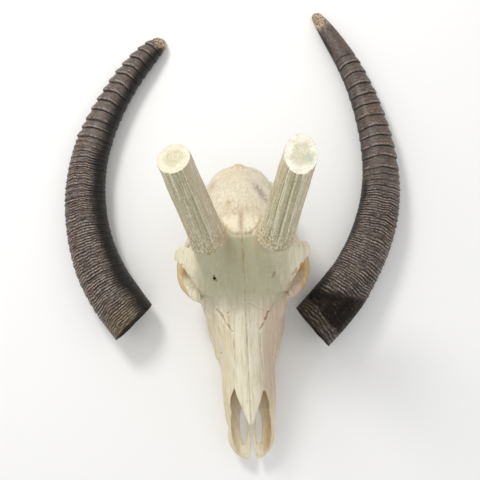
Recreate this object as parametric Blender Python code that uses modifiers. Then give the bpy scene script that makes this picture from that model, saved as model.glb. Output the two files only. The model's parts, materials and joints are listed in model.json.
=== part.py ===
"""Roan antelope skull without its lower jaw, resting on its cheek teeth, with the two horn sheaths off
their bony cores and laid on the floor at either side.

Metres, +Z up, floor at z = 0. The skull is modelled in its own frame: x towards the animal's left, y back
from the tip of the snout, z up from the plane of the worn teeth. It is then turned and set on the floor.
"""

import math

import bmesh
import bpy
import numpy as np
from mathutils import Euler, Matrix, Vector

# Gap between pieces that meet.
SEAM = 0.0003
HALF_SEAM = SEAM / 2

# How the skull sits on the floor: snout raised, turned a little, over the point between the last molars.
SNOUT_UP = math.radians(3.0)
SKULL_TURN = math.radians(2.9)
REST_POINT = Vector((0.0, 0.228, 0.0))
SKULL_PLACE = Vector((0.0162, -0.0872, -0.0003))

# Remeshing of the fused bone, and how many triangles it is brought down to.
VOXEL = 0.0017
BONE_TRIANGLES = 6300

# Sections of the face, from snout to forehead: y, top, shoulder (x, z), widest (x, z), lower edge (x, z) and
# bottom.
FACE = (
    (0.000, 0.0135, 0.0060, 0.0130, 0.0110, 0.0100, 0.0080, 0.0070, 0.0070),
    (0.004, 0.0160, 0.0100, 0.0150, 0.0175, 0.0110, 0.0140, 0.0075, 0.0075),
    (0.010, 0.0190, 0.0155, 0.0180, 0.0240, 0.0120, 0.0200, 0.0080, 0.0080),
    (0.022, 0.0270, 0.0200, 0.0260, 0.0292, 0.0160, 0.0250, 0.0100, 0.0105),
    (0.040, 0.0420, 0.0190, 0.0400, 0.0308, 0.0240, 0.0265, 0.0130, 0.0140),
    (0.060, 0.0600, 0.0185, 0.0560, 0.0330, 0.0330, 0.0285, 0.0170, 0.0185),
    (0.080, 0.0740, 0.0185, 0.0700, 0.0342, 0.0380, 0.0305, 0.0190, 0.0215),
    (0.100, 0.0825, 0.0190, 0.0775, 0.0343, 0.0420, 0.0315, 0.0195, 0.0235),
    (0.118, 0.0890, 0.0190, 0.0840, 0.0338, 0.0450, 0.0325, 0.0195, 0.0245),
    (0.132, 0.0945, 0.0200, 0.0890, 0.0362, 0.0450, 0.0350, 0.0200, 0.0250),
    (0.150, 0.1010, 0.0220, 0.0950, 0.0420, 0.0460, 0.0400, 0.0210, 0.0250),
    (0.175, 0.1100, 0.0250, 0.1030, 0.0495, 0.0550, 0.0440, 0.0220, 0.0250),
    (0.195, 0.1170, 0.0300, 0.1100, 0.0520, 0.0660, 0.0450, 0.0230, 0.0260),
    (0.215, 0.1250, 0.0380, 0.1180, 0.0550, 0.0780, 0.0450, 0.0260, 0.0290),
    (0.232, 0.1330, 0.0460, 0.1250, 0.0550, 0.0900, 0.0390, 0.0380, 0.0380),
    (0.252, 0.1430, 0.0540, 0.1340, 0.0520, 0.1020, 0.0330, 0.0560, 0.0460),
    (0.275, 0.1530, 0.0560, 0.1400, 0.0490, 0.1060, 0.0300, 0.0620, 0.0480),
    (0.295, 0.1590, 0.0500, 0.1440, 0.0470, 0.1080, 0.0290, 0.0620, 0.0480),
    (0.310, 0.1590, 0.0420, 0.1450, 0.0450, 0.1080, 0.0290, 0.0600, 0.0480),
)

# Sections of the braincase, in the same order of columns.
BRAINCASE = (
    (0.290, 0.1585, 0.0400, 0.1460, 0.0460, 0.1120, 0.0300, 0.0600, 0.0480),
    (0.312, 0.1590, 0.0370, 0.1470, 0.0465, 0.1110, 0.0300, 0.0580, 0.0460),
    (0.332, 0.1520, 0.0330, 0.1410, 0.0465, 0.1050, 0.0320, 0.0560, 0.0430),
    (0.350, 0.1400, 0.0280, 0.1300, 0.0430, 0.0960, 0.0340, 0.0520, 0.0390),
    (0.366, 0.1260, 0.0220, 0.1170, 0.0390, 0.0850, 0.0330, 0.0480, 0.0360),
    (0.377, 0.1130, 0.0140, 0.1080, 0.0330, 0.0780, 0.0290, 0.0460, 0.0350),
    (0.385, 0.1010, 0.0080, 0.0970, 0.0250, 0.0720, 0.0210, 0.0480, 0.0400),
)

# The hollow of the nose, open in front.
NOSE_HOLLOW = (
    (-0.010, 0.0600, 0.0150, 0.0500, 0.0260, 0.0250, 0.0200, 0.0130, 0.0120),
    (0.010, 0.0600, 0.0150, 0.0500, 0.0230, 0.0250, 0.0170, 0.0130, 0.0122),
    (0.025, 0.0600, 0.0150, 0.0500, 0.0250, 0.0270, 0.0190, 0.0150, 0.0140),
    (0.045, 0.0640, 0.0150, 0.0580, 0.0262, 0.0330, 0.0210, 0.0200, 0.0180),
    (0.065, 0.0690, 0.0150, 0.0620, 0.0285, 0.0370, 0.0235, 0.0240, 0.0230),
    (0.095, 0.0760, 0.0140, 0.0690, 0.0290, 0.0430, 0.0240, 0.0280, 0.0280),
    (0.125, 0.0840, 0.0110, 0.0780, 0.0230, 0.0520, 0.0190, 0.0320, 0.0320),
    (0.155, 0.0880, 0.0070, 0.0840, 0.0120, 0.0620, 0.0090, 0.0450, 0.0430),
)

# Free upper edge of the side walls of the nose, as y and z, from the snout tip to the end of the slit.
NOSE_EDGE = ((-0.020, 0.0125), (0.004, 0.0140), (0.020, 0.0210), (0.045, 0.0360), (0.065, 0.0490),
             (0.082, 0.0610), (0.092, 0.0700), (0.0965, 0.0790), (0.0975, 0.1000))

# Outline of the two nasal bones together, as y and half width, and the depth of the plate.
NASAL_OUTLINE = ((0.0495, 0.0024), (0.056, 0.0049), (0.066, 0.0090), (0.080, 0.0137), (0.096, 0.0190),
                 (0.112, 0.0190), (0.140, 0.0178), (0.170, 0.0176), (0.190, 0.0165), (0.203, 0.0070))
NASAL_DEPTH = 0.0042
NASAL_ARCH = 12.0

# Height of the midline of the nose and forehead over the tooth plane.
ROOF = ((0.040, 0.0650), (0.0495, 0.0665), (0.066, 0.0710), (0.080, 0.0756), (0.100, 0.0830), (0.118, 0.0895),
        (0.132, 0.0948), (0.150, 0.1012), (0.175, 0.1101), (0.195, 0.1171), (0.215, 0.1250))

# Upper cheek teeth from front to back: length, width, offset of the row from the midline.
TEETH = ((0.0140, 0.0115, 0.0290), (0.0155, 0.0145, 0.0315), (0.0150, 0.0165, 0.0335),
         (0.0185, 0.0190, 0.0350), (0.0220, 0.0205, 0.0360), (0.0215, 0.0195, 0.0360))
TOOTH_ROW_START = 0.1215

# Horn cores: ends in the skull frame, half widths across and along the head at shares of the length, and
# which way the sawn top faces.
CORE_BASE = Vector((0.0398, 0.2785, 0.1690))
LEFT_CORE_TOP = Vector((0.0662, 0.3486, 0.2890))
RIGHT_CORE_TOP = Vector((-0.0692, 0.3508, 0.2885))
LEFT_CORE_CUT = Vector((0.10, 0.16, 1.0))
RIGHT_CORE_CUT = Vector((-0.16, 0.52, 0.85))
CORE_HALF_WIDTHS = ((0.0, 0.0212, 0.0252), (0.3, 0.0202, 0.0240), (1.0, 0.0184, 0.0224))
CORE_FLUTES = 11
FLUTE_DEPTH = 0.0007
BURR_HEIGHT = 0.0022
BURR_REACH = 0.009
# How much longer the core is made before it is sawn off.
CORE_SPARE = 0.03

# Horn sheaths, lying on one side: middle of the mouth, length along the bend, heading in degrees from +Y
# towards +X and half width at shares of the length, zones of rings as start, end, spacing and height.
LEFT_SHEATH_MOUTH = (0.1089, -0.1374)
LEFT_SHEATH_LENGTH = 0.4985
LEFT_SHEATH_HEADINGS = ((0.0, 43), (0.1, 39.5), (0.2, 30), (0.34, 16), (0.46, 1), (0.59, -11.5),
                        (0.73, -20.5), (0.87, -30.5), (1.0, -33))
LEFT_SHEATH_HALF_WIDTHS = ((0.0, 0.0337), (0.07, 0.0340), (0.135, 0.0332), (0.2, 0.0308), (0.335, 0.0286),
                           (0.46, 0.0257), (0.59, 0.0222), (0.73, 0.0182), (0.87, 0.0142), (0.95, 0.0104),
                           (0.985, 0.0070), (1.0, 0.0034))
LEFT_SHEATH_RINGS = ((0.175, 0.245, 0.0088, 0.0006), (0.255, 0.425, 0.0155, 0.0014))
RIGHT_SHEATH_MOUTH = (-0.1332, -0.1310)
RIGHT_SHEATH_LENGTH = 0.4518
RIGHT_SHEATH_HEADINGS = ((0.0, -38.5), (0.08, -36), (0.16, -28.5), (0.3, -13), (0.43, -0.5), (0.52, 9),
                         (0.6, 18), (0.72, 26.5), (0.82, 33), (0.92, 41), (1.0, 50))
RIGHT_SHEATH_HALF_WIDTHS = ((0.0, 0.0338), (0.07, 0.0340), (0.14, 0.0330), (0.24, 0.0310), (0.43, 0.0273),
                            (0.59, 0.0241), (0.74, 0.0205), (0.89, 0.0168), (0.95, 0.0138), (0.985, 0.0100),
                            (1.0, 0.0060))
RIGHT_SHEATH_RINGS = ((0.175, 0.275, 0.0088, 0.0006), (0.285, 0.432, 0.0147, 0.0016))
# Height of a sheath as a share of its width, its wall at the mouth, and how far the mouth slants, dying
# out over a reach. The hollow narrows as the square root of 1 - HOLLOW_END * depth ** HOLLOW_BEND.
SHEATH_FLATNESS = 0.88
SHEATH_WALL = 0.0045
MOUTH_SLANT = 0.0040
SLANT_REACH = 0.045
HOLLOW_SHARE = 0.62
HOLLOW_END = 0.985
HOLLOW_BEND = 1.6
# Height of a ring on the top and underside of a sheath, as a share of its height on the outer side.
RING_LEAN = 0.6
WIDE_RING = 0.010
SHEATH_SIDES = 16

# Sutures that part the skull, as lines of y and z.
FRONT_SUTURE = ((0.0660, -0.0200), (0.0680, 0.0220), (0.0780, 0.0450), (0.0880, 0.0610), (0.0915, 0.0670),
                (0.0915, 0.0800))
FACE_SUTURE = ((0.2035, 0.1400), (0.2090, 0.1120), (0.2160, 0.0950), (0.2230, 0.0780), (0.2300, 0.0600),
               (0.2335, 0.0400), (0.2340, -0.0200))
CROWN_SUTURE = ((0.3140, 0.1800), (0.3100, 0.1500), (0.2990, 0.1220), (0.2800, 0.0990), (0.2540, 0.0790),
                (0.2299, 0.0603))
THROAT_SUTURE = ((0.2800, 0.0990), (0.2841, 0.0947), (0.2880, 0.0860), (0.2895, 0.0500), (0.2895, -0.0200))

# A point near the middle of each bone that the sutures leave.
BONES = {
    "left_premaxilla": (0.020, 0.030, 0.020),
    "right_premaxilla": (-0.020, 0.030, 0.020),
    "upper_jaw": (0.0, 0.150, 0.050),
    "forehead": (0.0, 0.260, 0.130),
    "braincase": (0.0, 0.335, 0.085),
    "sphenoid": (0.0, 0.262, 0.055),
}

# Bony arch under each eye socket, front to back: x, y, z, half thickness, half depth.
CHEEK_ARCH = ((0.0470, 0.1990, 0.0715, 0.0046, 0.0125), (0.0505, 0.2130, 0.0720, 0.0086, 0.0130),
              (0.0608, 0.2240, 0.0725, 0.0130, 0.0118), (0.0718, 0.2362, 0.0740, 0.0126, 0.0100),
              (0.0766, 0.2500, 0.0760, 0.0110, 0.0086), (0.0780, 0.2660, 0.0790, 0.0078, 0.0086),
              (0.0730, 0.2800, 0.0820, 0.0042, 0.0078), (0.0660, 0.2950, 0.0850, 0.0040, 0.0068),
              (0.0595, 0.3120, 0.0860, 0.0044, 0.0060), (0.0545, 0.3250, 0.0860, 0.0050, 0.0058))

BONE_COLOUR = (0.78, 0.73, 0.58)
SHADED_BONE_COLOUR = (0.66, 0.63, 0.50)
NASAL_COLOUR = (0.76, 0.70, 0.53)
CORE_COLOUR = (0.62, 0.58, 0.42)
HORN_COLOUR = (0.085, 0.062, 0.048)
BONE_ROUGHNESS = 0.62
CORE_ROUGHNESS = 0.72
HORN_ROUGHNESS = 0.55


def clear_scene():
    for obj in list(bpy.data.objects):
        bpy.data.objects.remove(obj)


def new_collection(name):
    made = bpy.data.collections.new(name)
    bpy.context.scene.collection.children.link(made)
    return made


def material(name, colour, roughness):
    made = bpy.data.materials.new(name)
    made.use_nodes = True
    shader = made.node_tree.nodes["Principled BSDF"]
    shader.inputs["Base Color"].default_value = (*colour, 1.0)
    shader.inputs["Roughness"].default_value = roughness
    shader.inputs["Metallic"].default_value = 0.0
    return made


def smooth_rows(rows, places):
    """Rows read at other values of their first column, along a curve that never overshoots them."""
    table = np.array(rows, float)
    at, values = table[:, 0], table[:, 1:]
    step = np.diff(at)[:, None]
    slope = np.diff(values, axis=0) / step
    tangent = np.zeros_like(values)
    tangent[1:-1] = np.where(
        slope[1:] * slope[:-1] > 0,
        2 * slope[1:] * slope[:-1] / np.where(slope[1:] + slope[:-1] == 0, 1, slope[1:] + slope[:-1]),
        0,
    )
    tangent[0], tangent[-1] = slope[0], slope[-1]
    places = np.clip(places, at[0], at[-1])
    cell = np.clip(np.searchsorted(at, places, side="right") - 1, 0, len(at) - 2)
    t = ((places - at[cell]) / step[cell, 0])[:, None]
    before, after = values[cell], values[cell + 1]
    rise, fall = tangent[cell] * step[cell], tangent[cell + 1] * step[cell]
    return (
        (2 * t**3 - 3 * t**2 + 1) * before
        + (t**3 - 2 * t**2 + t) * rise
        + (3 * t**2 - 2 * t**3) * after
        + (t**3 - t**2) * fall
    )


def closed_spline(points, per_span):
    """A smooth closed curve through the points."""
    points = [Vector(p) for p in points]
    made = []
    for i in range(len(points)):
        a, b, c, d = (points[(i + k) % len(points)] for k in (-1, 0, 1, 2))
        for j in range(per_span):
            t = j / per_span
            square = (2 * a - 5 * b + 4 * c - d) * t**2
            cube = (3 * b - a - 3 * c + d) * t**3
            made.append(0.5 * (2 * b + (c - a) * t + square + cube))
    return made


def section_ring(y, values, per_span=5):
    top, x1, z1, x2, z2, x3, z3, bottom = values
    half = [(x1, y, z1), (x2, y, z2), (x3, y, z3)]
    other = [(-x, y, z) for x, y, z in reversed(half)]
    return closed_spline([(0, y, top), *half, (0, y, bottom), *other], per_span)


def loft(name, rings):
    """A closed solid through rings of equally many points, first and last filled."""
    made = bmesh.new()
    rows = [[made.verts.new(p) for p in ring] for ring in rings]
    count = len(rows[0])
    for row, after in zip(rows, rows[1:]):
        for i in range(count):
            j = (i + 1) % count
            made.faces.new((row[i], row[j], after[j], after[i]))
    made.faces.new(list(reversed(rows[0])))
    made.faces.new(rows[-1])
    bmesh.ops.recalc_face_normals(made, faces=made.faces)
    return mesh_object(name, made)


def mesh_object(name, made):
    mesh = bpy.data.meshes.new(name)
    made.to_mesh(mesh)
    made.free()
    obj = bpy.data.objects.new(name, mesh)
    obj.display_type = "WIRE"
    obj.hide_render = True
    cutters.objects.link(obj)
    return obj


def section_loft(name, rows, count):
    places = np.linspace(rows[0][0], rows[-1][0], count)
    return loft(name, [section_ring(y, row) for y, row in zip(places, smooth_rows(rows, places))])


def ellipsoid(name, centre, radii, turn=(0, 0, 0), sides=24):
    made = bmesh.new()
    matrix = Matrix.Translation(centre) @ Euler(turn).to_matrix().to_4x4() @ Matrix.Diagonal((*radii, 1))
    bmesh.ops.create_uvsphere(made, u_segments=sides, v_segments=sides // 2, radius=1, matrix=matrix)
    return mesh_object(name, made)


def tube(name, stops, side=(1, 0, 0), sides=16, count=24):
    """A bent, tapering rod. Each stop is x, y, z, half width along side, half width across it."""
    rows = [(i, *stop) for i, stop in enumerate(stops)]
    along = smooth_rows(rows, np.linspace(0, len(stops) - 1, count))
    middles = [Vector(row[:3]) for row in along]
    rings = []
    for i, (x, y, z, wide, deep) in enumerate(along):
        heading = (middles[min(i + 1, count - 1)] - middles[max(i - 1, 0)]).normalized()
        across = Vector(side)
        across = (across - across.dot(heading) * heading).normalized()
        other = heading.cross(across)
        rings.append([
            Vector((x, y, z)) + across * wide * math.cos(a) + other * deep * math.sin(a)
            for a in np.linspace(0, math.tau, sides, endpoint=False)
        ])
    return loft(name, rings)


def prism(name, outline, axis, low, high):
    """A flat outline drawn out along the x or z axis from low to high."""
    made = bmesh.new()
    if axis == "X":
        places = [Vector((low, a, b)) for a, b in outline]
        way = Vector((high - low, 0, 0))
    else:
        places = [Vector((a, b, low)) for a, b in outline]
        way = Vector((0, 0, high - low))
    face = made.faces.new([made.verts.new(p) for p in places])
    moved = bmesh.ops.extrude_face_region(made, geom=[face])["geom"]
    bmesh.ops.translate(made, vec=way, verts=[v for v in moved if isinstance(v, bmesh.types.BMVert)])
    bmesh.ops.recalc_face_normals(made, faces=made.faces)
    return mesh_object(name, made)


def block(name, low, high):
    made = bmesh.new()
    bmesh.ops.create_cube(made, size=1)
    size = Vector(high) - Vector(low)
    matrix = Matrix.Translation((Vector(low) + Vector(high)) / 2) @ Matrix.Diagonal((*size, 1))
    bmesh.ops.transform(made, matrix=matrix, verts=made.verts)
    return mesh_object(name, made)


def both_sides(make, *args, **more):
    """The piece and its mirror image."""
    piece = make(*args, **more)
    twin = piece.copy()
    twin.data = piece.data.copy()
    twin.name = piece.name + "_right"
    twin.data.transform(Matrix.Scale(-1, 4, (1, 0, 0)))
    twin.data.flip_normals()
    cutters.objects.link(twin)
    return [piece, twin]


def join(name, pieces):
    """One object that holds the meshes of all the pieces, which are removed."""
    made = bmesh.new()
    for piece in pieces:
        made.from_mesh(piece.data)
        bpy.data.objects.remove(piece)
    return mesh_object(name, made)


def apply_modifiers(obj):
    bpy.context.view_layer.update()
    graph = bpy.context.evaluated_depsgraph_get()
    mesh = bpy.data.meshes.new_from_object(obj.evaluated_get(graph))
    obj.modifiers.clear()
    obj.data = mesh
    return obj


def remesh(obj, size):
    modifier = obj.modifiers.new("voxels", "REMESH")
    modifier.mode = "VOXEL"
    modifier.voxel_size = size
    modifier.adaptivity = 0
    return apply_modifiers(obj)


def smooth(obj, turns, factor=0.5):
    modifier = obj.modifiers.new("smooth", "SMOOTH")
    modifier.iterations = turns
    modifier.factor = factor
    return apply_modifiers(obj)


def thin_out(obj, triangles):
    modifier = obj.modifiers.new("fewer", "DECIMATE")
    modifier.ratio = triangles / (2 * len(obj.data.polygons))
    modifier.use_symmetry = True
    modifier.symmetry_axis = "X"
    return apply_modifiers(obj)


def boolean(obj, other, operation, solver="EXACT"):
    modifier = obj.modifiers.new(operation.lower(), "BOOLEAN")
    modifier.operation = operation
    modifier.object = other
    modifier.solver = solver
    return apply_modifiers(obj)


def cut_bone(bone, cutter):
    """Takes a cutter out of the fused bone, where the exact solver is slow and loses thin walls."""
    return boolean(bone, cutter, "DIFFERENCE", "MANIFOLD")


def nose_and_face():
    """The face from snout to forehead, with the nose hollowed out and its side walls cut to their free edge."""
    face = section_loft("face", FACE, 110)
    boolean(face, section_loft("nose_hollow", NOSE_HOLLOW, 60), "DIFFERENCE")
    edge = [(y, z) for y, z in NOSE_EDGE] + [(-0.020, 0.1000)]
    boolean(face, prism("nose_edge", edge, "X", -0.08, 0.08), "DIFFERENCE")
    fissure = [(0.0066, 0.062), (0.0063, 0.040), (0.0062, 0.024), (0.0085, 0.0185), (0.0115, 0.020),
               (0.0140, 0.030), (0.0150, 0.045), (0.0140, 0.060), (0.0100, 0.071)]
    for cutter in both_sides(prism, "incisive_fissure", fissure, "Z", -0.02, 0.05):
        boolean(face, cutter, "DIFFERENCE")
    gap = [(-0.0009, 0.067), (-0.0009, 0.024), (-0.0022, 0.008), (-0.0045, -0.01), (0.0065, -0.01),
           (0.0042, 0.008), (0.0022, 0.024), (0.0022, 0.067)]
    boolean(face, prism("front_gap", gap, "Z", -0.02, 0.05), "DIFFERENCE")
    return face


def nasal_plate(name, side, spread, lift):
    """One nasal bone, or with side 0 both of them, grown by spread; its upper face is raised by lift."""
    rings = []
    places = np.linspace(NASAL_OUTLINE[0][0] - spread, NASAL_OUTLINE[-1][0] + spread, 17)
    widths = smooth_rows(NASAL_OUTLINE, places)[:, 0]
    heights = smooth_rows(ROOF, places)[:, 0]
    for y, wide, top in zip(places, widths, heights):
        inner = -wide - spread if side == 0 else HALF_SEAM
        across = np.linspace(inner, wide + spread, 5 if side else 11)
        upper = [(x, y, top + lift - NASAL_ARCH * x * x) for x in across]
        lower = [(x, y, top - spread - NASAL_ARCH * x * x - NASAL_DEPTH) for x in across[::-1]]
        rings.append(upper + lower)
    plate = loft(name, rings)
    if side < 0:
        plate.data.transform(Matrix.Scale(-1, 4, (1, 0, 0)))
        plate.data.flip_normals()
    return plate


def frontal_wing():
    """The frontal bones between and over the orbits, as sections across the head."""
    stops = ((-0.0841, 0.2636, 0.1210, 0.0116, 0.0036), (-0.0790, 0.2605, 0.1250, 0.0208, 0.0052),
             (-0.0670, 0.2520, 0.1300, 0.0305, 0.0070), (-0.0450, 0.2500, 0.1360, 0.0400, 0.0095),
             (0.0, 0.2550, 0.1400, 0.0450, 0.0100), (0.0450, 0.2500, 0.1360, 0.0400, 0.0095),
             (0.0670, 0.2520, 0.1300, 0.0305, 0.0070), (0.0790, 0.2605, 0.1250, 0.0208, 0.0052),
             (0.0841, 0.2636, 0.1210, 0.0116, 0.0036))
    return tube("frontal_wing", stops, side=(0, 0.92, 0.39), sides=24, count=61)


def teeth():
    """The six upper cheek teeth of each side, each two columns fused, worn flat at z = 0."""
    pieces = []
    start = TOOTH_ROW_START
    for long, wide, offset in TEETH:
        columns = 1 if long < 0.017 else 2
        for i in range(columns):
            middle = start + long * (i + 0.5) / columns
            reach = long / columns * 0.56
            stops = ((offset + 0.0015, middle, 0.034, reach * 0.9, wide * 0.45),
                     (offset + 0.0010, middle, 0.012, reach, wide * 0.50),
                     (offset, middle, 0.0012, reach * 0.97, wide * 0.46),
                     (offset, middle, 0.0, reach * 0.90, wide * 0.42))
            pieces += both_sides(tube, "tooth", stops, side=(0, 1, 0), sides=12, count=10)
        start += long
    return pieces


def bone_pieces():
    """Every solid form that fuses into the skull, apart from the nasal bones and the horn cores."""
    pieces = [nose_and_face(), section_loft("braincase_form", BRAINCASE, 60), frontal_wing()]
    pieces += both_sides(tube, "pedicle", (
        (0.0310, 0.2560, 0.1180, 0.0260, 0.0300), (0.0345, 0.2640, 0.1400, 0.0240, 0.0285),
        (0.0398, 0.2785, 0.1690, 0.0212, 0.0255), (0.0410, 0.2820, 0.1750, 0.0210, 0.0252)))
    pieces += both_sides(tube, "postorbital_bar", (
        (0.0765, 0.2580, 0.1240, 0.0060, 0.0090), (0.0790, 0.2670, 0.1080, 0.0045, 0.0070),
        (0.0790, 0.2690, 0.0930, 0.0045, 0.0075), (0.0780, 0.2680, 0.0800, 0.0050, 0.0090)))
    pieces += both_sides(tube, "orbit_front_rim", (
        (0.0620, 0.2280, 0.1270, 0.0060, 0.0050), (0.0590, 0.2180, 0.1120, 0.0045, 0.0050),
        (0.0590, 0.2140, 0.0950, 0.0045, 0.0050), (0.0610, 0.2200, 0.0800, 0.0060, 0.0060)))
    pieces += both_sides(ellipsoid, "arch_root", (0.0480, 0.2010, 0.0720), (0.0075, 0.0180, 0.0150), (0, 0, -0.3))
    pieces += both_sides(ellipsoid, "arch_end", (0.0480, 0.3280, 0.0850), (0.0130, 0.0140, 0.0070))
    pieces += both_sides(ellipsoid, "cheek_tuber", (0.0392, 0.1510, 0.0400), (0.0045, 0.0180, 0.0070))
    pieces += both_sides(tube, "nuchal_crest", (
        (0.0450, 0.3460, 0.0680, 0.0040, 0.0040), (0.0400, 0.3560, 0.0840, 0.0035, 0.0035),
        (0.0280, 0.3665, 0.0980, 0.0035, 0.0035), (0.0140, 0.3755, 0.1065, 0.0035, 0.0035),
        (0.0, 0.3800, 0.1090, 0.0040, 0.0040)))
    pieces.append(ellipsoid("nuchal_knob", (0, 0.3800, 0.1080), (0.0080, 0.0060, 0.0060)))
    pieces += both_sides(ellipsoid, "condyle", (0.0165, 0.3810, 0.0480), (0.0110, 0.0125, 0.0145), (0.5, 0, 0))
    pieces += both_sides(ellipsoid, "mastoid", (0.0400, 0.3520, 0.0680), (0.0100, 0.0160, 0.0180))
    pieces += both_sides(tube, "paroccipital", (
        (0.0380, 0.3600, 0.0600, 0.0070, 0.0110), (0.0385, 0.3620, 0.0400, 0.0045, 0.0080),
        (0.0370, 0.3650, 0.0220, 0.0035, 0.0060), (0.0350, 0.3680, 0.0070, 0.0032, 0.0048)))
    pieces += both_sides(ellipsoid, "bulla", (0.0260, 0.3340, 0.0420), (0.0100, 0.0170, 0.0170))
    pieces += both_sides(tube, "ear_tube", (
        (0.0380, 0.3330, 0.0660, 0.0060, 0.0060), (0.0500, 0.3380, 0.0720, 0.0055, 0.0055)))
    pieces.append(tube("skull_base", (
        (0, 0.2850, 0.0500, 0.0110, 0.0090), (0, 0.3200, 0.0440, 0.0130, 0.0090),
        (0, 0.3550, 0.0400, 0.0150, 0.0080), (0, 0.3800, 0.0430, 0.0200, 0.0080))))
    pieces += both_sides(tube, "pterygoid", (
        (0.0130, 0.2300, 0.0330, 0.0022, 0.0110), (0.0130, 0.2480, 0.0340, 0.0020, 0.0130),
        (0.0140, 0.2640, 0.0380, 0.0020, 0.0150), (0.0150, 0.2820, 0.0450, 0.0030, 0.0140)))
    pieces.append(tube("vomer", (
        (0, 0.0860, 0.0290, 0.0014, 0.0070), (0, 0.1050, 0.0345, 0.0014, 0.0110),
        (0, 0.1500, 0.0500, 0.0020, 0.0200))))
    return pieces + teeth()


def bone_cutters():
    """What is taken out of the fused bone: the orbits, the passages and the larger holes."""
    pieces = both_sides(ellipsoid, "orbit", (0.0610, 0.2440, 0.1010), (0.0330, 0.0255, 0.0245), (0, -0.12, -0.42))
    pieces.append(tube("great_hole", (
        (0, 0.410, 0.0560, 0.0125, 0.0110), (0, 0.370, 0.0620, 0.0115, 0.0105), (0, 0.345, 0.0700, 0.0080, 0.0080))))
    pieces.append(tube("throat_passage", (
        (0, 0.310, 0.0300, 0.0100, 0.0080), (0, 0.270, 0.0340, 0.0105, 0.0110),
        (0, 0.232, 0.0340, 0.0100, 0.0100), (0, 0.212, 0.0400, 0.0080, 0.0070))))
    pieces += both_sides(tube, "ear_hole", (
        (0.0600, 0.3420, 0.0770, 0.0034, 0.0034), (0.0400, 0.3340, 0.0670, 0.0034, 0.0034)))
    pieces += both_sides(ellipsoid, "eye_edge", (0.0840, 0.2275, 0.1210), (0.0226, 0.0470, 0.0330), (0, 0, -0.540))
    slit = [(0.0190, 0.0975), (0.0175, 0.0900), (0.0154, 0.0840), (0.0134, 0.0780), (0.0252, 0.0780),
            (0.0243, 0.0840), (0.0226, 0.0900)]
    return pieces + both_sides(prism, "nose_slit", slit, "Z", 0.050, 0.100)


def fused_bone():
    """All bone forms made one, hollowed, smoothed, worn flat under the teeth and set on the floor."""
    bone = remesh(join("bone", bone_pieces()), VOXEL)
    for cutter in bone_cutters():
        cut_bone(bone, cutter)
    remesh(bone, VOXEL)
    smooth(bone, 5)
    bone = one_surface(thin_out(bone, BONE_TRIANGLES), 0, "bone")
    cut_bone(bone, block("under_teeth", (-0.2, -0.1, -0.05), (0.2, 0.29, 0.0)))
    floor = block("floor", (-0.5, -0.5, -0.1), (0.5, 0.5, 0.0))
    floor.data.transform(skull_matrix().inverted())
    return cut_bone(bone, floor)


def skull_matrix():
    turn = Matrix.Rotation(SKULL_TURN, 4, "Z") @ Matrix.Rotation(-SNOUT_UP, 4, "X")
    return Matrix.Translation(SKULL_PLACE) @ turn @ Matrix.Translation(-REST_POINT)


def seam_slab(name, line, reach):
    """A slab as thick as a seam along a line of y and z, reaching as far as reach to either side."""
    points = [Vector(p) for p in line]
    near, far = [], []
    for i, point in enumerate(points):
        heading = (points[min(i + 1, len(points) - 1)] - points[max(i - 1, 0)]).normalized()
        normal = Vector((-heading.y, heading.x))
        near.append(point + normal * HALF_SEAM)
        far.append(point - normal * HALF_SEAM)
    return prism(name, [tuple(p) for p in near + far[::-1]], "X", -reach, reach)


def cheek_arch(name, side, spread):
    """The bony arch under one eye socket, from the upper jaw back to the ear, grown by spread."""
    arch = tube(name, [(x, y, z, thick + spread, deep + spread) for x, y, z, thick, deep in CHEEK_ARCH],
                side=(0.9, -0.4, 0), sides=12, count=20)
    if side < 0:
        arch.data.transform(Matrix.Scale(-1, 4, (1, 0, 0)))
        arch.data.flip_normals()
    return arch


def core_frame(side):
    """Base, axis, length and the two directions across a horn core."""
    top = LEFT_CORE_TOP if side > 0 else RIGHT_CORE_TOP
    base = Vector((CORE_BASE.x * side, CORE_BASE.y, CORE_BASE.z))
    axis = (top - base).normalized()
    across = (Vector((1, 0, 0)) - axis * axis.x).normalized()
    return base, top, axis, across, axis.cross(across)


def horn_core(name, side):
    """One bony core: fluted, with a rough burr round its base, sawn off flat."""
    base, top, axis, across, deep = core_frame(side)
    length = (top - base).length
    stops = np.array([0, 0.003, 0.006, 0.009, 0.013, 0.03, 0.06, 0.09, 0.12, length + CORE_SPARE])
    widths = smooth_rows(CORE_HALF_WIDTHS, stops / length)
    rings = []
    for along, (half_x, half_y) in zip(stops, widths):
        ring = []
        for angle in np.linspace(0, math.tau, 33, endpoint=False):
            flute = FLUTE_DEPTH * math.cos(CORE_FLUTES * angle + 6 * along)
            burr = BURR_HEIGHT * max(0.0, 1 - along / BURR_REACH) * (0.75 + 0.25 * math.cos(7 * angle + side))
            grow = flute + burr
            ring.append(base + axis * (along + HALF_SEAM) + across * (half_x + grow) * math.cos(angle)
                        + deep * (half_y + grow) * math.sin(angle))
        rings.append(ring)
    core = loft(name, rings)
    saw = block("saw", (-0.1, -0.1, 0), (0.1, 0.1, 0.1))
    cut = LEFT_CORE_CUT if side > 0 else RIGHT_CORE_CUT
    saw.data.transform(Matrix.Translation(top) @ cut.to_track_quat("Z", "Y").to_matrix().to_4x4())
    return boolean(core, saw, "DIFFERENCE")


def core_seat(side):
    """What is cut off the pedicle so that the core sits flat on it."""
    base, _, axis, _, _ = core_frame(side)
    seat = block("core_seat", (-0.036, -0.036, -HALF_SEAM), (0.036, 0.036, 0.02))
    seat.data.transform(Matrix.Translation(base) @ axis.to_track_quat("Z", "Y").to_matrix().to_4x4())
    return seat


def ring_height(along, zones):
    for start, end, spacing, height in zones:
        if start <= along <= end:
            return -height / 2 * math.cos(math.tau * (along - start) / spacing)
    return 0.0


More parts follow.
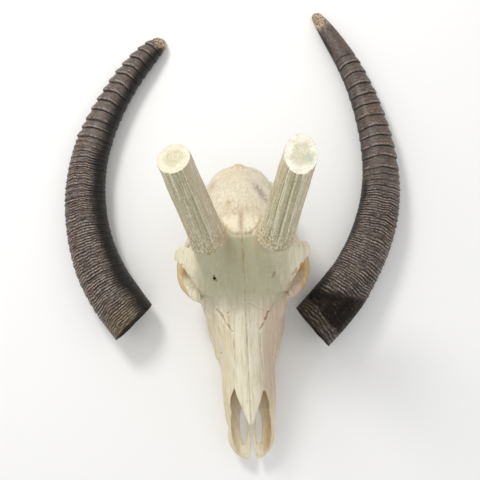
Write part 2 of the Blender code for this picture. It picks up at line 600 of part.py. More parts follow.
def sheath_stops(length, zones):
    """Places of the loops along a sheath: three to a wide ring, two to a narrow one, few where it is plain."""
    stops = list(np.linspace(0, zones[0][0], 9)[:-1])
    for start, end, spacing, _ in zones:
        rings = round((end - start) / spacing)
        loops = 3 if spacing > WIDE_RING else 2
        stops += list(np.linspace(start, end, loops * rings + 1))
    stops += list(np.linspace(zones[-1][1], length, 8)[1:])
    return np.array(sorted(set(np.round(stops, 6))))


def sheath_line(mouth, length, headings):
    """Points and headings along the middle of a sheath, at a thousandth of its length each."""
    share = np.linspace(0, 1, 1001)
    turn = np.radians(smooth_rows(headings, share)[:, 0])
    step = length / 1000
    x = mouth[0] + np.concatenate([[0], np.cumsum(np.sin(turn[:-1]) * step)])
    y = mouth[1] + np.concatenate([[0], np.cumsum(np.cos(turn[:-1]) * step)])
    return share * length, x, y, turn


def horn_sheath(name, mouth, length, headings, half_widths, zones, outer):
    """One horn sheath: a bent, ringed cone with a hollow for the core. Outer is +1 or -1, the convex side."""
    along, xs, ys, turns = sheath_line(mouth, length, headings)
    angles = np.linspace(0, math.tau, SHEATH_SIDES, endpoint=False)
    plain = float(smooth_rows(half_widths, [0])[0, 0])

    def ring(at, half, height):
        x, y, turn = (float(np.interp(at, along, row)) for row in (xs, ys, turns))
        across = Vector((math.cos(turn), -math.sin(turn), 0))
        ahead = Vector((math.sin(turn), math.cos(turn), 0))
        rise = SHEATH_FLATNESS * (half_at(at) + RING_LEAN * ring_height(at, zones))
        slant = -outer * MOUTH_SLANT * max(0.0, 1 - at / SLANT_REACH)
        made = []
        for angle in angles:
            lean = RING_LEAN + (1 - RING_LEAN) * outer * math.cos(angle)
            grown = half + height * lean
            level = rise + SHEATH_FLATNESS * grown * math.sin(angle)
            made.append(Vector((x, y, level)) + (across * grown + ahead * slant) * math.cos(angle))
        return made

    def half_at(at):
        return float(smooth_rows(half_widths, [at / length])[0, 0])

    outside = [ring(at, half_at(at), ring_height(at, zones)) for at in sheath_stops(length, zones)]
    depth = HOLLOW_SHARE * length
    inside = []
    for share in np.linspace(0, 1, 12):
        half = (plain - SHEATH_WALL) * math.sqrt(1 - HOLLOW_END * share**HOLLOW_BEND)
        inside.append(ring(depth * share, min(half, half_at(depth * share) - SHEATH_WALL), 0))
    return loft(name, inside[::-1] + outside)


def surfaces(made):
    """The separate closed surfaces of a mesh as sets of faces, largest first."""
    left = set(made.faces)
    found = []
    while left:
        group, edge = set(), [left.pop()]
        while edge:
            face = edge.pop()
            group.add(face)
            near = {f for e in face.edges if len(e.link_faces) == 2 for f in e.link_faces} & left
            left -= near
            edge += near
        found.append(group)
    return sorted(found, key=len, reverse=True)


def one_surface(obj, rank, name):
    """A new object with the surface of this rank by number of faces."""
    made = bmesh.new()
    made.from_mesh(obj.data)
    kept = surfaces(made)[rank]
    bmesh.ops.delete(made, geom=[f for f in made.faces if f not in kept], context="FACES")
    return mesh_object(name, made)


def part_skull(bone):
    """Cuts the fused bone along its sutures and names what is left."""
    cuts = [seam_slab("front_suture", FRONT_SUTURE, 0.08), seam_slab("face_suture", FACE_SUTURE, 0.07),
            seam_slab("crown_suture", CROWN_SUTURE, 0.07), seam_slab("throat_suture", THROAT_SUTURE, 0.07),
            nasal_plate("nasal_seat", 0, SEAM, 0.006)]
    middle_seam = [(-0.0200, -0.0200), *FRONT_SUTURE[:3], (0.0700, 0.0480), (-0.0200, 0.0480)]
    cuts.append(prism("middle_seam", middle_seam, "X", -HALF_SEAM, HALF_SEAM))
    for side in (1, -1):
        cuts += [core_seat(side), cheek_arch("arch_seat", side, SEAM)]
    for cut in cuts:
        cut_bone(bone, cut)
    bones = {}
    for rank in range(len(BONES)):
        piece = one_surface(bone, rank, "piece")
        middle = sum((v.co for v in piece.data.vertices), Vector()) / len(piece.data.vertices)
        free = [name for name in BONES if name not in bones]
        piece.name = min(free, key=lambda name: (middle - Vector(BONES[name])).length)
        bones[piece.name] = piece
    return bones


def keep(obj, parent, colour, roughness):
    """Moves a finished piece into the model, on the skull's frame if it has one."""
    skull.objects.link(obj)
    cutters.objects.unlink(obj)
    obj.display_type = "TEXTURED"
    obj.hide_render = False
    obj.data.materials.clear()
    obj.data.materials.append(material(obj.name, colour, roughness))
    if parent:
        obj.parent = parent
        obj.location = -REST_POINT


def skull_frame():
    frame = bpy.data.objects.new("skull_frame", None)
    skull.objects.link(frame)
    frame.location = SKULL_PLACE
    frame.rotation_euler = (-SNOUT_UP, 0, SKULL_TURN)
    return frame


def main():
    frame = skull_frame()
    for name, bone in part_skull(fused_bone()).items():
        colour = SHADED_BONE_COLOUR if name == "forehead" else BONE_COLOUR
        keep(bone, frame, colour, BONE_ROUGHNESS)
    for word, side in (("left", 1), ("right", -1)):
        keep(nasal_plate(word + "_nasal", side, 0, 0.0004), frame, NASAL_COLOUR, BONE_ROUGHNESS)
        keep(cheek_arch(word + "_zygomatic_arch", side, 0), frame, BONE_COLOUR, BONE_ROUGHNESS)
        keep(horn_core(word + "_horn_core", side), frame, CORE_COLOUR, CORE_ROUGHNESS)
    keep(horn_sheath("left_horn_sheath", LEFT_SHEATH_MOUTH, LEFT_SHEATH_LENGTH, LEFT_SHEATH_HEADINGS,
                     LEFT_SHEATH_HALF_WIDTHS, LEFT_SHEATH_RINGS, 1), None, HORN_COLOUR, HORN_ROUGHNESS)
    keep(horn_sheath("right_horn_sheath", RIGHT_SHEATH_MOUTH, RIGHT_SHEATH_LENGTH, RIGHT_SHEATH_HEADINGS,
                     RIGHT_SHEATH_HALF_WIDTHS, RIGHT_SHEATH_RINGS, -1), None, HORN_COLOUR, HORN_ROUGHNESS)
    for helper in list(cutters.objects):
        bpy.data.objects.remove(helper)


clear_scene()
skull = new_collection("roan_antelope_skull")
cutters = new_collection("helpers")
cutters.hide_render = True
main()
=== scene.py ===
"""Looks for the roan antelope skull: one fine mesh for the fused bone, teeth, the two sawn horn cores and the
two ringed horn sheaths, on a pale floor, seen from above.

Metres, +Z up. The bone is modelled in the skull's own frame: x towards the animal's left, y back from the tip
of the snout, z up from the worn teeth. Its sizes are those of the solids that the pieces replace.
"""

import json
import math
from itertools import product

import bmesh
import bpy
import numpy as np
from mathutils import Euler, Matrix, Vector
from mathutils.bvhtree import BVHTree
from mathutils.kdtree import KDTree

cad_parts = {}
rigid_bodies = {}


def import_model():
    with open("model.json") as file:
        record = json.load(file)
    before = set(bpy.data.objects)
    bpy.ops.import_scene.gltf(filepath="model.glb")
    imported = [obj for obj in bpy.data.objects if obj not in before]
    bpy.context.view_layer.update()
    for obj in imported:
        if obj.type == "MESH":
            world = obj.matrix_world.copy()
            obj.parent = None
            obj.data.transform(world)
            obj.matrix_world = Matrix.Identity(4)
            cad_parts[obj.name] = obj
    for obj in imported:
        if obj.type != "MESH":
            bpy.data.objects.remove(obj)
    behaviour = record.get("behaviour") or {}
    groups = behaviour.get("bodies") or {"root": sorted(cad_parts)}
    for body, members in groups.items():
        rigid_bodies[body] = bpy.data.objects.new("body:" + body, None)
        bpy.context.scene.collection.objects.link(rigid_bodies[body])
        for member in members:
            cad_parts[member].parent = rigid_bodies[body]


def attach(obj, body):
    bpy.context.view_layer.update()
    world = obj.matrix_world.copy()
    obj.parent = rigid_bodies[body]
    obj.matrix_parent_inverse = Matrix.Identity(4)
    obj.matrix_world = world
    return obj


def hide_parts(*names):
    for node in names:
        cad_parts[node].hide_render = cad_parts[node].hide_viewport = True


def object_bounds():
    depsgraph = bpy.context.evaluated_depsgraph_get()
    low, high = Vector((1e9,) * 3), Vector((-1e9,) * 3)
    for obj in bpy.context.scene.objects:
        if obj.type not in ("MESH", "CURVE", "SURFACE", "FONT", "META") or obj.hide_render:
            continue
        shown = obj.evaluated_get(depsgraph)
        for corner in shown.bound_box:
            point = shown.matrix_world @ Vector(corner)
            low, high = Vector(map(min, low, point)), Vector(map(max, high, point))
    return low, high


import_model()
cad_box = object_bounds()

# How the skull sits on the floor: snout raised, turned a little, over the point between the last molars.
SNOUT_UP = math.radians(3.0)
SKULL_TURN = math.radians(2.9)
REST_POINT = Vector((0.0, 0.228, 0.0))
SKULL_PLACE = Vector((0.0162, -0.0872, -0.0003))

# Sections of the face, from snout to forehead: y, top, shoulder (x, z), widest (x, z), lower edge (x, z) and
# bottom.
FACE = (
    (0.000, 0.0135, 0.0060, 0.0130, 0.0110, 0.0100, 0.0080, 0.0070, 0.0070),
    (0.004, 0.0160, 0.0100, 0.0150, 0.0175, 0.0110, 0.0140, 0.0075, 0.0075),
    (0.010, 0.0190, 0.0155, 0.0180, 0.0240, 0.0120, 0.0200, 0.0080, 0.0080),
    (0.022, 0.0270, 0.0200, 0.0260, 0.0292, 0.0160, 0.0250, 0.0100, 0.0105),
    (0.040, 0.0420, 0.0190, 0.0400, 0.0308, 0.0240, 0.0265, 0.0130, 0.0140),
    (0.060, 0.0600, 0.0185, 0.0560, 0.0330, 0.0330, 0.0285, 0.0170, 0.0185),
    (0.080, 0.0740, 0.0185, 0.0700, 0.0342, 0.0380, 0.0305, 0.0190, 0.0215),
    (0.100, 0.0825, 0.0190, 0.0775, 0.0343, 0.0420, 0.0315, 0.0195, 0.0235),
    (0.118, 0.0890, 0.0190, 0.0840, 0.0338, 0.0450, 0.0325, 0.0195, 0.0245),
    (0.132, 0.0945, 0.0200, 0.0890, 0.0362, 0.0450, 0.0350, 0.0200, 0.0250),
    (0.150, 0.1010, 0.0220, 0.0950, 0.0420, 0.0460, 0.0400, 0.0210, 0.0250),
    (0.175, 0.1100, 0.0250, 0.1030, 0.0495, 0.0550, 0.0440, 0.0220, 0.0250),
    (0.195, 0.1170, 0.0300, 0.1100, 0.0520, 0.0660, 0.0450, 0.0230, 0.0260),
    (0.215, 0.1250, 0.0380, 0.1180, 0.0550, 0.0780, 0.0450, 0.0260, 0.0290),
    (0.232, 0.1330, 0.0460, 0.1250, 0.0550, 0.0900, 0.0390, 0.0380, 0.0380),
    (0.252, 0.1430, 0.0540, 0.1340, 0.0520, 0.1020, 0.0330, 0.0560, 0.0460),
    (0.275, 0.1530, 0.0560, 0.1400, 0.0490, 0.1060, 0.0300, 0.0620, 0.0480),
    (0.295, 0.1590, 0.0500, 0.1440, 0.0470, 0.1080, 0.0290, 0.0620, 0.0480),
    (0.310, 0.1590, 0.0420, 0.1450, 0.0450, 0.1080, 0.0290, 0.0600, 0.0480),
)

# Sections of the braincase, in the same order of columns.
BRAINCASE = (
    (0.290, 0.1585, 0.0400, 0.1460, 0.0460, 0.1120, 0.0300, 0.0600, 0.0480),
    (0.312, 0.1590, 0.0370, 0.1470, 0.0465, 0.1110, 0.0300, 0.0580, 0.0460),
    (0.332, 0.1520, 0.0330, 0.1410, 0.0465, 0.1050, 0.0320, 0.0560, 0.0430),
    (0.350, 0.1400, 0.0280, 0.1300, 0.0430, 0.0960, 0.0340, 0.0520, 0.0390),
    (0.366, 0.1260, 0.0220, 0.1170, 0.0390, 0.0850, 0.0330, 0.0480, 0.0360),
    (0.377, 0.1130, 0.0140, 0.1080, 0.0330, 0.0780, 0.0290, 0.0460, 0.0350),
    (0.385, 0.1010, 0.0080, 0.0970, 0.0250, 0.0720, 0.0210, 0.0480, 0.0400),
)

# The hollow of the nose, open in front.
NOSE_HOLLOW = (
    (-0.010, 0.0600, 0.0150, 0.0500, 0.0260, 0.0250, 0.0200, 0.0130, 0.0120),
    (0.010, 0.0600, 0.0150, 0.0500, 0.0230, 0.0250, 0.0170, 0.0130, 0.0122),
    (0.025, 0.0600, 0.0150, 0.0500, 0.0250, 0.0270, 0.0190, 0.0150, 0.0140),
    (0.045, 0.0640, 0.0150, 0.0580, 0.0262, 0.0330, 0.0210, 0.0200, 0.0180),
    (0.065, 0.0690, 0.0150, 0.0620, 0.0285, 0.0370, 0.0235, 0.0240, 0.0230),
    (0.095, 0.0760, 0.0140, 0.0690, 0.0290, 0.0430, 0.0240, 0.0280, 0.0280),
    (0.125, 0.0840, 0.0110, 0.0780, 0.0230, 0.0520, 0.0190, 0.0320, 0.0320),
    (0.155, 0.0880, 0.0070, 0.0840, 0.0120, 0.0620, 0.0090, 0.0450, 0.0430),
)

# Free upper edge of the side walls of the nose, as y and z, from the snout tip to the end of the slit.
NOSE_EDGE = ((-0.020, 0.0125), (0.004, 0.0140), (0.020, 0.0210), (0.045, 0.0360), (0.065, 0.0490),
             (0.082, 0.0610), (0.092, 0.0700), (0.0965, 0.0790), (0.0975, 0.1000))

# Openings in the floor of the nose, seen from above: the fissure on each side and the gap in front.
INCISIVE_FISSURE = ((0.0066, 0.062), (0.0063, 0.040), (0.0062, 0.024), (0.0085, 0.0185), (0.0115, 0.020),
                    (0.0140, 0.030), (0.0150, 0.045), (0.0140, 0.060), (0.0100, 0.071))
FRONT_GAP = ((-0.0009, 0.067), (-0.0009, 0.024), (-0.0022, 0.008), (-0.0045, -0.01), (0.0065, -0.01),
             (0.0042, 0.008), (0.0022, 0.024), (0.0022, 0.067))

# Outline of the two nasal bones together, as y and half width, their depth and how strongly they are arched.
NASAL_OUTLINE = ((0.0495, 0.0024), (0.056, 0.0049), (0.066, 0.0090), (0.080, 0.0137), (0.096, 0.0190),
                 (0.112, 0.0190), (0.140, 0.0178), (0.170, 0.0176), (0.190, 0.0165), (0.203, 0.0070))
NASAL_DEPTH = 0.0042
NASAL_ARCH = 12.0

# Height of the midline of the nose and forehead over the tooth plane.
ROOF = ((0.040, 0.0650), (0.0495, 0.0665), (0.066, 0.0710), (0.080, 0.0756), (0.100, 0.0830), (0.118, 0.0895),
        (0.132, 0.0948), (0.150, 0.1012), (0.175, 0.1101), (0.195, 0.1171), (0.215, 0.1250))

# Upper cheek teeth from front to back: length, width, offset of the row from the midline. Those longer than
# MOLAR_LENGTH have two columns, and a higher power makes squarer corners.
TEETH = ((0.0140, 0.0115, 0.0290), (0.0155, 0.0145, 0.0315), (0.0150, 0.0165, 0.0335),
         (0.0185, 0.0190, 0.0350), (0.0220, 0.0205, 0.0360), (0.0215, 0.0195, 0.0360))
TOOTH_ROW_START = 0.1215
TOOTH_SPACING = 0.0178
TOOTH_CORNERS = 3.2
MOLAR_LENGTH = 0.017

# Horn cores: ends in the skull frame, which way the sawn top faces on the animal's left (1) and right (-1),
# and half widths across and along the head at shares of the length.
CORE_BASE = Vector((0.0398, 0.2785, 0.1690))
CORE_TOP = {1: Vector((0.0662, 0.3486, 0.2890)), -1: Vector((-0.0692, 0.3508, 0.2885))}
CORE_CUT = {1: Vector((0.10, 0.16, 1.0)), -1: Vector((-0.16, 0.52, 0.85))}
CORE_HALF_WIDTHS = ((0.0, 0.0212, 0.0252), (0.3, 0.0202, 0.0240), (1.0, 0.0184, 0.0224))

# Horn sheaths, lying on one side: middle of the mouth, length along the bend, heading in degrees from +Y
# towards +X and half width at shares of the length. Rings and wrinkles: start, end, spacing and height.
# Marks: reach of the rounding of the tip, of its tan and of the rim's own tone, strength of the dark smooth
# band, the side facings between which shade sets in, the band's start, end and slant, and notches in the
# mouth as angle, depth and reach.
SHEATHS = {
    "left": {
        "mouth": (0.1089, -0.1374),
        "length": 0.4985,
        "headings": ((0.0, 43), (0.1, 39.5), (0.2, 30), (0.34, 16), (0.46, 1), (0.59, -11.5), (0.73, -20.5),
                     (0.87, -30.5), (1.0, -33)),
        "half_widths": ((0.0, 0.0337), (0.07, 0.0340), (0.135, 0.0332), (0.2, 0.0308), (0.335, 0.0286),
                        (0.46, 0.0257), (0.59, 0.0222), (0.73, 0.0182), (0.87, 0.0142), (0.95, 0.0104),
                        (0.985, 0.0070), (1.0, 0.0034)),
        "rings": ((0.0760, 0.1650, 0.0112, 0.00075), (0.1650, 0.2430, 0.0078, 0.00130),
                  (0.2430, 0.4140, 0.0157, 0.00230), (0.4140, 0.4380, 0.0240, 0.00060)),
        "wrinkles": ((0.0010, 0.0600, 0.0050, 0.00045), (0.0600, 0.1150, 0.0040, 0.00090),
                     (0.1150, 0.2400, 0.0037, 0.00095), (0.2400, 0.4100, 0.0048, 0.00030)),
        "tip_round": 0.0060, "tan": 0.026, "rim": 0.020, "dark": 1.0, "shade": (0.75, 1.0),
        "smooth": (0.018, 0.064, 0.016),
        "notches": ((0.95, 0.0010, 0.22), (1.6, 0.0005, 0.30)),
    },
    "right": {
        "mouth": (-0.1332, -0.1310),
        "length": 0.4518,
        "headings": ((0.0, -38.5), (0.08, -36), (0.16, -28.5), (0.3, -13), (0.43, -0.5), (0.52, 9), (0.6, 18),
                     (0.72, 26.5), (0.82, 33), (0.92, 41), (1.0, 50)),
        "half_widths": ((0.0, 0.0338), (0.07, 0.0340), (0.14, 0.0330), (0.24, 0.0310), (0.43, 0.0273),
                        (0.59, 0.0241), (0.74, 0.0205), (0.89, 0.0168), (0.95, 0.0138), (0.985, 0.0100),
                        (1.0, 0.0060)),
        "rings": ((0.0300, 0.1800, 0.0112, 0.00100), (0.1800, 0.2700, 0.0078, 0.00120),
                  (0.2700, 0.4400, 0.0147, 0.00290)),
        "wrinkles": ((0.0010, 0.0500, 0.0036, 0.00085), (0.0500, 0.1650, 0.0038, 0.00100),
                     (0.1650, 0.2750, 0.0036, 0.00085), (0.2750, 0.4300, 0.0046, 0.00030)),
        "tip_round": 0.0080, "tan": 0.013, "rim": 0.030, "dark": 0.0, "shade": (0.25, 0.72),
        "smooth": (-0.02, -0.01, 0.0),
        "notches": ((1.9, 0.0012, 0.22), (1.2, 0.0006, 0.20)),
    },
}

# Height of a sheath as a share of its width, its wall at the mouth, and how far the mouth slants, dying
# out over a reach. The hollow narrows as the square root of 1 - HOLLOW_END * depth ** HOLLOW_BEND.
SHEATH_FLATNESS = 0.88
SHEATH_WALL = 0.0045
MOUTH_SLANT = 0.0040
SLANT_REACH = 0.045
HOLLOW_SHARE = 0.62
HOLLOW_END = 0.985
HOLLOW_BEND = 1.6

# Sutures seen from the side as lines of y and z, and from above as lines of x and y, each with how far it
# wavers; those from above also with the height over which they lie.
SIDE_SUTURES = (
    (((0.0680, 0.0220), (0.0780, 0.0450)), 0.0005),
    (((0.150, 0.0540), (0.172, 0.0620), (0.196, 0.0700), (0.203, 0.0860), (0.206, 0.1010)), 0.0009),
    (((0.3100, 0.1500), (0.2990, 0.1220), (0.2800, 0.0990), (0.2540, 0.0790), (0.2299, 0.0603)), 0.0010),
    (((0.300, 0.0560), (0.322, 0.0720), (0.345, 0.0900), (0.357, 0.1060)), 0.0010),
)
TOP_SUTURES = (
    (((0, 0.2015), (0.006, 0.2035), (0.011, 0.1985), (0.0165, 0.1960), (0.0240, 0.1925)), 0.0011, 0.09),
    (((0.0193, 0.0970), (0.0190, 0.112), (0.0178, 0.140), (0.0172, 0.166)), 0.0002, 0.07),
    (((0, 0.3060), (0.005, 0.3105), (0.013, 0.3125), (0.022, 0.3085), (0.034, 0.3010)), 0.0009, 0.12),
    (((0.0275, 0.1890), (0.036, 0.2010), (0.047, 0.2090), (0.058, 0.2130)), 0.0009, 0.085),
)

# Bony arch under each eye socket, front to back: x, y, z, half thickness, half depth.
CHEEK_ARCH = ((0.0470, 0.1990, 0.0715, 0.0046, 0.0125), (0.0505, 0.2130, 0.0720, 0.0086, 0.0130),
              (0.0608, 0.2240, 0.0725, 0.0130, 0.0118), (0.0718, 0.2362, 0.0740, 0.0126, 0.0100),
              (0.0766, 0.2500, 0.0760, 0.0110, 0.0086), (0.0780, 0.2660, 0.0790, 0.0078, 0.0086),
              (0.0730, 0.2800, 0.0820, 0.0042, 0.0078), (0.0660, 0.2950, 0.0850, 0.0040, 0.0068),
              (0.0595, 0.3120, 0.0860, 0.0044, 0.0060), (0.0545, 0.3250, 0.0860, 0.0050, 0.0058))

# The frontal bones between and over the orbits, as sections across the head: x, y, z, half width, half depth.
FRONTAL_WING = ((-0.0841, 0.2636, 0.1210, 0.0116, 0.0036), (-0.0790, 0.2605, 0.1250, 0.0208, 0.0052),
                (-0.0670, 0.2520, 0.1300, 0.0305, 0.0070), (-0.0450, 0.2500, 0.1360, 0.0400, 0.0095),
                (0.0, 0.2550, 0.1400, 0.0450, 0.0100), (0.0450, 0.2500, 0.1360, 0.0400, 0.0095),
                (0.0670, 0.2520, 0.1300, 0.0305, 0.0070), (0.0790, 0.2605, 0.1250, 0.0208, 0.0052),
                (0.0841, 0.2636, 0.1210, 0.0116, 0.0036))

# Slit of the nose beside the nasal bone on each side, seen from above.
NOSE_SLITS = {-1: ((0.0187, 0.0995), (0.0175, 0.0900), (0.0154, 0.0840), (0.0134, 0.0700), (0.0252, 0.0560),
                   (0.0258, 0.0680), (0.0252, 0.0780), (0.0243, 0.0840), (0.0220, 0.0900)),
              1: ((0.0180, 0.0995), (0.0170, 0.0900), (0.0150, 0.0840), (0.0134, 0.0700), (0.0252, 0.0560),
                  (0.0250, 0.0680), (0.0240, 0.0780), (0.0226, 0.0840), (0.0205, 0.0900))}

# Forms and cutters that have no mirror image.
ON_MIDLINE = ("nuchal_knob", "skull_base", "vomer", "great_hole", "throat_passage")

# Soft hills and hollows on both sides of the bone, and rusty spots: height or strength, centre and radii.
HILLS = ((0.0012, (0.0, 0.3680, 0.1260), (0.0075, 0.0130, 0.0120)),
         (-0.0010, (0.0170, 0.3690, 0.1180), (0.0070, 0.0090, 0.0120)),
         (-0.0013, (0.0345, 0.2200, 0.1250), (0.0034, 0.0150, 0.0200)),
         (-0.0022, (0.0520, 0.1980, 0.0920), (0.0140, 0.0140, 0.0140)),
         (-0.0014, (0.0330, 0.1050, 0.0620), (0.0120, 0.0280, 0.0140)),
         (0.0014, (0.0400, 0.1500, 0.0450), (0.0080, 0.0120, 0.0060)),
         (0.0010, (0.0560, 0.2420, 0.1400), (0.0120, 0.0120, 0.0120)),
         (0.0022, (0.0445, 0.1265, 0.0520), (0.0040, 0.0032, 0.0050)),
         (0.0012, (0.0300, 0.0300, 0.0160), (0.0080, 0.0100, 0.0120)),
         (-0.0016, (0.0310, 0.0440, 0.0240), (0.0080, 0.0060, 0.0120)),
         (-0.0016, (0.0, 0.2360, 0.1320), (0.0200, 0.0300, 0.0300)))
RUSTY_SPOTS = ((0.90, (-0.0150, 0.3250, 0.1560), (0.0030, 0.0055, 0.010)),
               (0.40, (0.0, 0.2810, 0.1570), (0.0020, 0.0050, 0.020)),
               (0.70, (-0.0330, 0.3560, 0.1120), (0.0050, 0.0080, 0.012)),
               (0.25, (0.0, 0.3830, 0.1120), (0.0110, 0.0050, 0.006)),
               (0.40, (-0.0540, 0.2240, 0.1200), (0.0080, 0.0080, 0.010)))

# How fine the dressed pieces are, in metres or as counts.
FINE_VOXEL = 0.0012
COARSE_VOXEL = 0.0040
RELAX_TURNS = 7
BLEND_TURNS = 45
SHEATH_GRID = (184, 880)
CORE_GRID = (288, 190)
TOOTH_SIDES = 96
SECTION_COUNTS = {"face": 110, "nose_hollow": 60, "braincase_form": 60}
SAWN_ROWS = 54

# Openness: how many ways each place looks, how far, from how high over the surface, how flat a look may be,
# and how many places of the coarse copy each fine one reads.
OPEN_DIRECTIONS = 26
OPEN_REACH = 0.05
OPEN_LIFT = 0.0006
OPEN_LEAST = 0.1
OPEN_READ = 3

# How far all pieces stay inside the solids' box, how far the nasal bones are raised over the roof and the
# cores sunk into the bone, and the share of a ring that its steep lip takes up.
BOX_MARGIN = 0.00002
NASAL_LIFT = 0.0004
CORE_SINK = 0.0015
RING_LIP = 0.17

# Sutures of the fused bone: half width and depth.
SUTURE_WIDTH = 0.0008
SUTURE_DEPTH = 0.0007

# The slits beside the root of the nose and at the nerve holes of the forehead, seen from above.
BONE_SLITS = (((-0.0366, 0.2372), (-0.0358, 0.2345), (-0.0342, 0.2322)),
              ((0.0378, 0.2378), (0.0364, 0.2358), (0.0350, 0.2332)),
              ((-0.0365, 0.1985), (-0.0315, 0.1925), (-0.0268, 0.1840)),
              ((-0.0255, 0.1815), (-0.0215, 0.1755), (-0.0182, 0.1698)),
              ((0.0285, 0.1925), (0.0262, 0.1868), (0.0240, 0.1823)),
              ((0.0222, 0.1785), (0.0198, 0.1745), (0.0171, 0.1708)))

# Free edge of the bone over each eye socket, and the place, reach and slant of a dent in the braincase.
EYE_MARGIN = ((0.0830, 0.2660), (0.0717, 0.2467), (0.0610, 0.2362), (0.0567, 0.2235), (0.0525, 0.2125))
DENT = (0.0262, 0.3400)
DENT_REACH = (0.0048, 0.0160)
DENT_SLANT = 0.47

# How steeply the ridge of the nose rises.
NOSE_SLOPE = math.atan(0.42)

# How far the noise bends the cracks of the aged bone.
CRACK_BEND = 0.010

# Which way round the front of each core is, and its deepest grooves as angle and strength.
FRONT_OF_CORE = {1: -1.55, -1: -1.85}
DEEP_GROOVES = {1: ((-2.24, 1.0), (-1.75, 1.1), (-1.38, 0.9), (1.9, 0.6)),
                -1: ((-1.52, 0.6), (-1.22, 1.0), (-2.0, 0.45), (1.2, 0.6))}

# How high the burr of a core lies at the front, over smooth bone like the forehead's.
BURR_LIFT = 0.0060

# A stain on each cut face: its place, its reach and its strength.
CAP_STAIN = {1: (0.0090, -0.0040, 0.0060, 0.95), -1: (-0.0070, 0.0060, 0.0016, 1.0)}

# How ragged the mouth of a sheath is and how far in that dies out, the span and rows of its tip, the rows of
# its hollow, and the width that a turn of one radian takes up in the flow of the horn's fibres.
MOUTH_RAGGED = 0.0008
DRAWN_REACH = 0.05
TIP_SPAN = 0.006
TIP_ROWS = 14
HOLLOW_ROWS = 46
FLOW_WIDTH = 0.03

# Camera of the photo: nearly straight down, level with the picture's right and left.
PHOTO_WIDTH = 480
PHOTO_FOCAL_PIXELS = 778.5
VIEW_TARGET = Vector((0.0107, -0.0155, 0.0))
VIEW_DISTANCE = 1.10
VIEW_HEIGHT = math.radians(85.0)
SENSOR_WIDTH = 36.0
CLIP_START = 0.02

# Floor and light.
FLOOR_SIZE = 4.0
FILL_STRENGTH = 0.76
KEY_SIZE = 0.45
KEY_POWER = 12.5
KEY_DISTANCE = 1.7
KEY_TURN = math.radians(32)
KEY_HEIGHT = math.radians(46)
KEY_COLOUR = (1.0, 0.985, 0.955)


def numbers(mesh, kind="vertices", field="co", width=3):
    """One property of a mesh's vertices or edges as an array."""
    items = getattr(mesh, kind)
    found = np.empty(len(items) * width, np.int32 if field == "vertices" else np.float32)
    items.foreach_get(field, found)
    return found.reshape(-1, width)


def move_to(obj, places):
    obj.data.vertices.foreach_set("co", np.asarray(places, np.float32).ravel())
    obj.data.update()


def normals(obj):
    return numbers(obj.data, field="normal").astype(float)


class Neighbours:
    """Averages over the neighbours of each vertex of a mesh."""

    def __init__(self, mesh):
        self.a, self.b = numbers(mesh, "edges", "vertices", 2).T
        self.count = len(mesh.vertices)
        ends = np.concatenate([self.a, self.b])
        self.degree = np.maximum(np.bincount(ends, minlength=self.count), 1)

    def mean(self, values):
        values = values.reshape(self.count, -1)
        total = np.zeros_like(values)
        for i in range(values.shape[1]):
            row = values[:, i]
            for here, there in ((self.a, self.b), (self.b, self.a)):
                total[:, i] += np.bincount(here, row[there], self.count)
        return total / self.degree[:, None]

    def smooth(self, values, turns, factor=0.5):
        for _ in range(turns):
            values = values + factor * (self.mean(values).reshape(values.shape) - values)
        return values

    def relax(self, places, turns):
        """Smooths without shrinking: each pull inwards is followed by a slightly larger push out."""
        for _ in range(turns):
            places = places + 0.5 * (self.mean(places) - places)
            places = places - 0.53 * (self.mean(places) - places)
        return places


def hashed(cells, seed):
    """A number from 0 to 1 for each whole-number cell."""
    mixed = np.sin(cells @ np.array([127.1, 311.7, 74.7]) + seed * 17.3) * 43758.5453
    return mixed - np.floor(mixed)


def noise(points, size, seed=0):
    """Smooth noise from -1 to 1 with features of about this size, which may differ by axis."""
    places = np.asarray(points, float) / size
    corner = np.floor(places)
    t = places - corner
    t = t * t * (3 - 2 * t)
    total = 0
    for steps in product((0, 1), repeat=3):
        weight = np.ones(len(places))
        for axis, step in enumerate(steps):
            weight = weight * (t[:, axis] if step else 1 - t[:, axis])
        total = total + weight * hashed(corner + steps, seed)
    return 2 * total - 1


def fractal(points, size, seed=0, layers=3):
    """Layers of noise, each half the size and half the strength of the last."""
    total = sum(noise(points, np.asarray(size) / 2**i, seed + i) / 2**i for i in range(layers))
    return total / (2 - 2 ** (1 - layers))


def pebbles(points, size, seed=0):
    """Distance to the nearest of scattered points, in units of their spacing: small in a pit or on a knob."""
    places = np.asarray(points, float) / size
    corner = np.floor(places)
    nearest = np.full(len(places), 9.0)
    for step in product((-1, 0, 1), repeat=3):
        cell = corner + step
        middle = cell + np.stack([hashed(cell, seed + n) for n in (0, 1, 2)], 1)
        nearest = np.minimum(nearest, ((places - middle) ** 2).sum(1))
    return np.sqrt(nearest)


def step_up(values, low, high):
    """0 below low, 1 above high and smooth between."""
    t = np.clip((values - low) / (high - low), 0, 1)
    return t * t * (3 - 2 * t)


def step_down(values, low, high):
    """1 below low, 0 above high and smooth between."""
    return 1 - step_up(values, low, high)


def bell(values, reach):
    """1 where the values are 0, dying out on both sides."""
    return np.exp(-((values / reach) ** 2))


def bump_at(points, centre, radii):
    """A soft round hill of height 1."""
    return np.exp(-(((points - np.array(centre)) / np.array(radii)) ** 2).sum(1))


def bumps_at(points, rows):
    """Round hills one on another, from rows of height, centre and radii."""
    return sum(height * bump_at(points, centre, radii) for height, centre, radii in rows)


def band(values, low, full, fall, end):
    """1 between full and fall, 0 below low and above end, and smooth between."""
    return step_up(values, low, full) * step_down(values, fall, end)


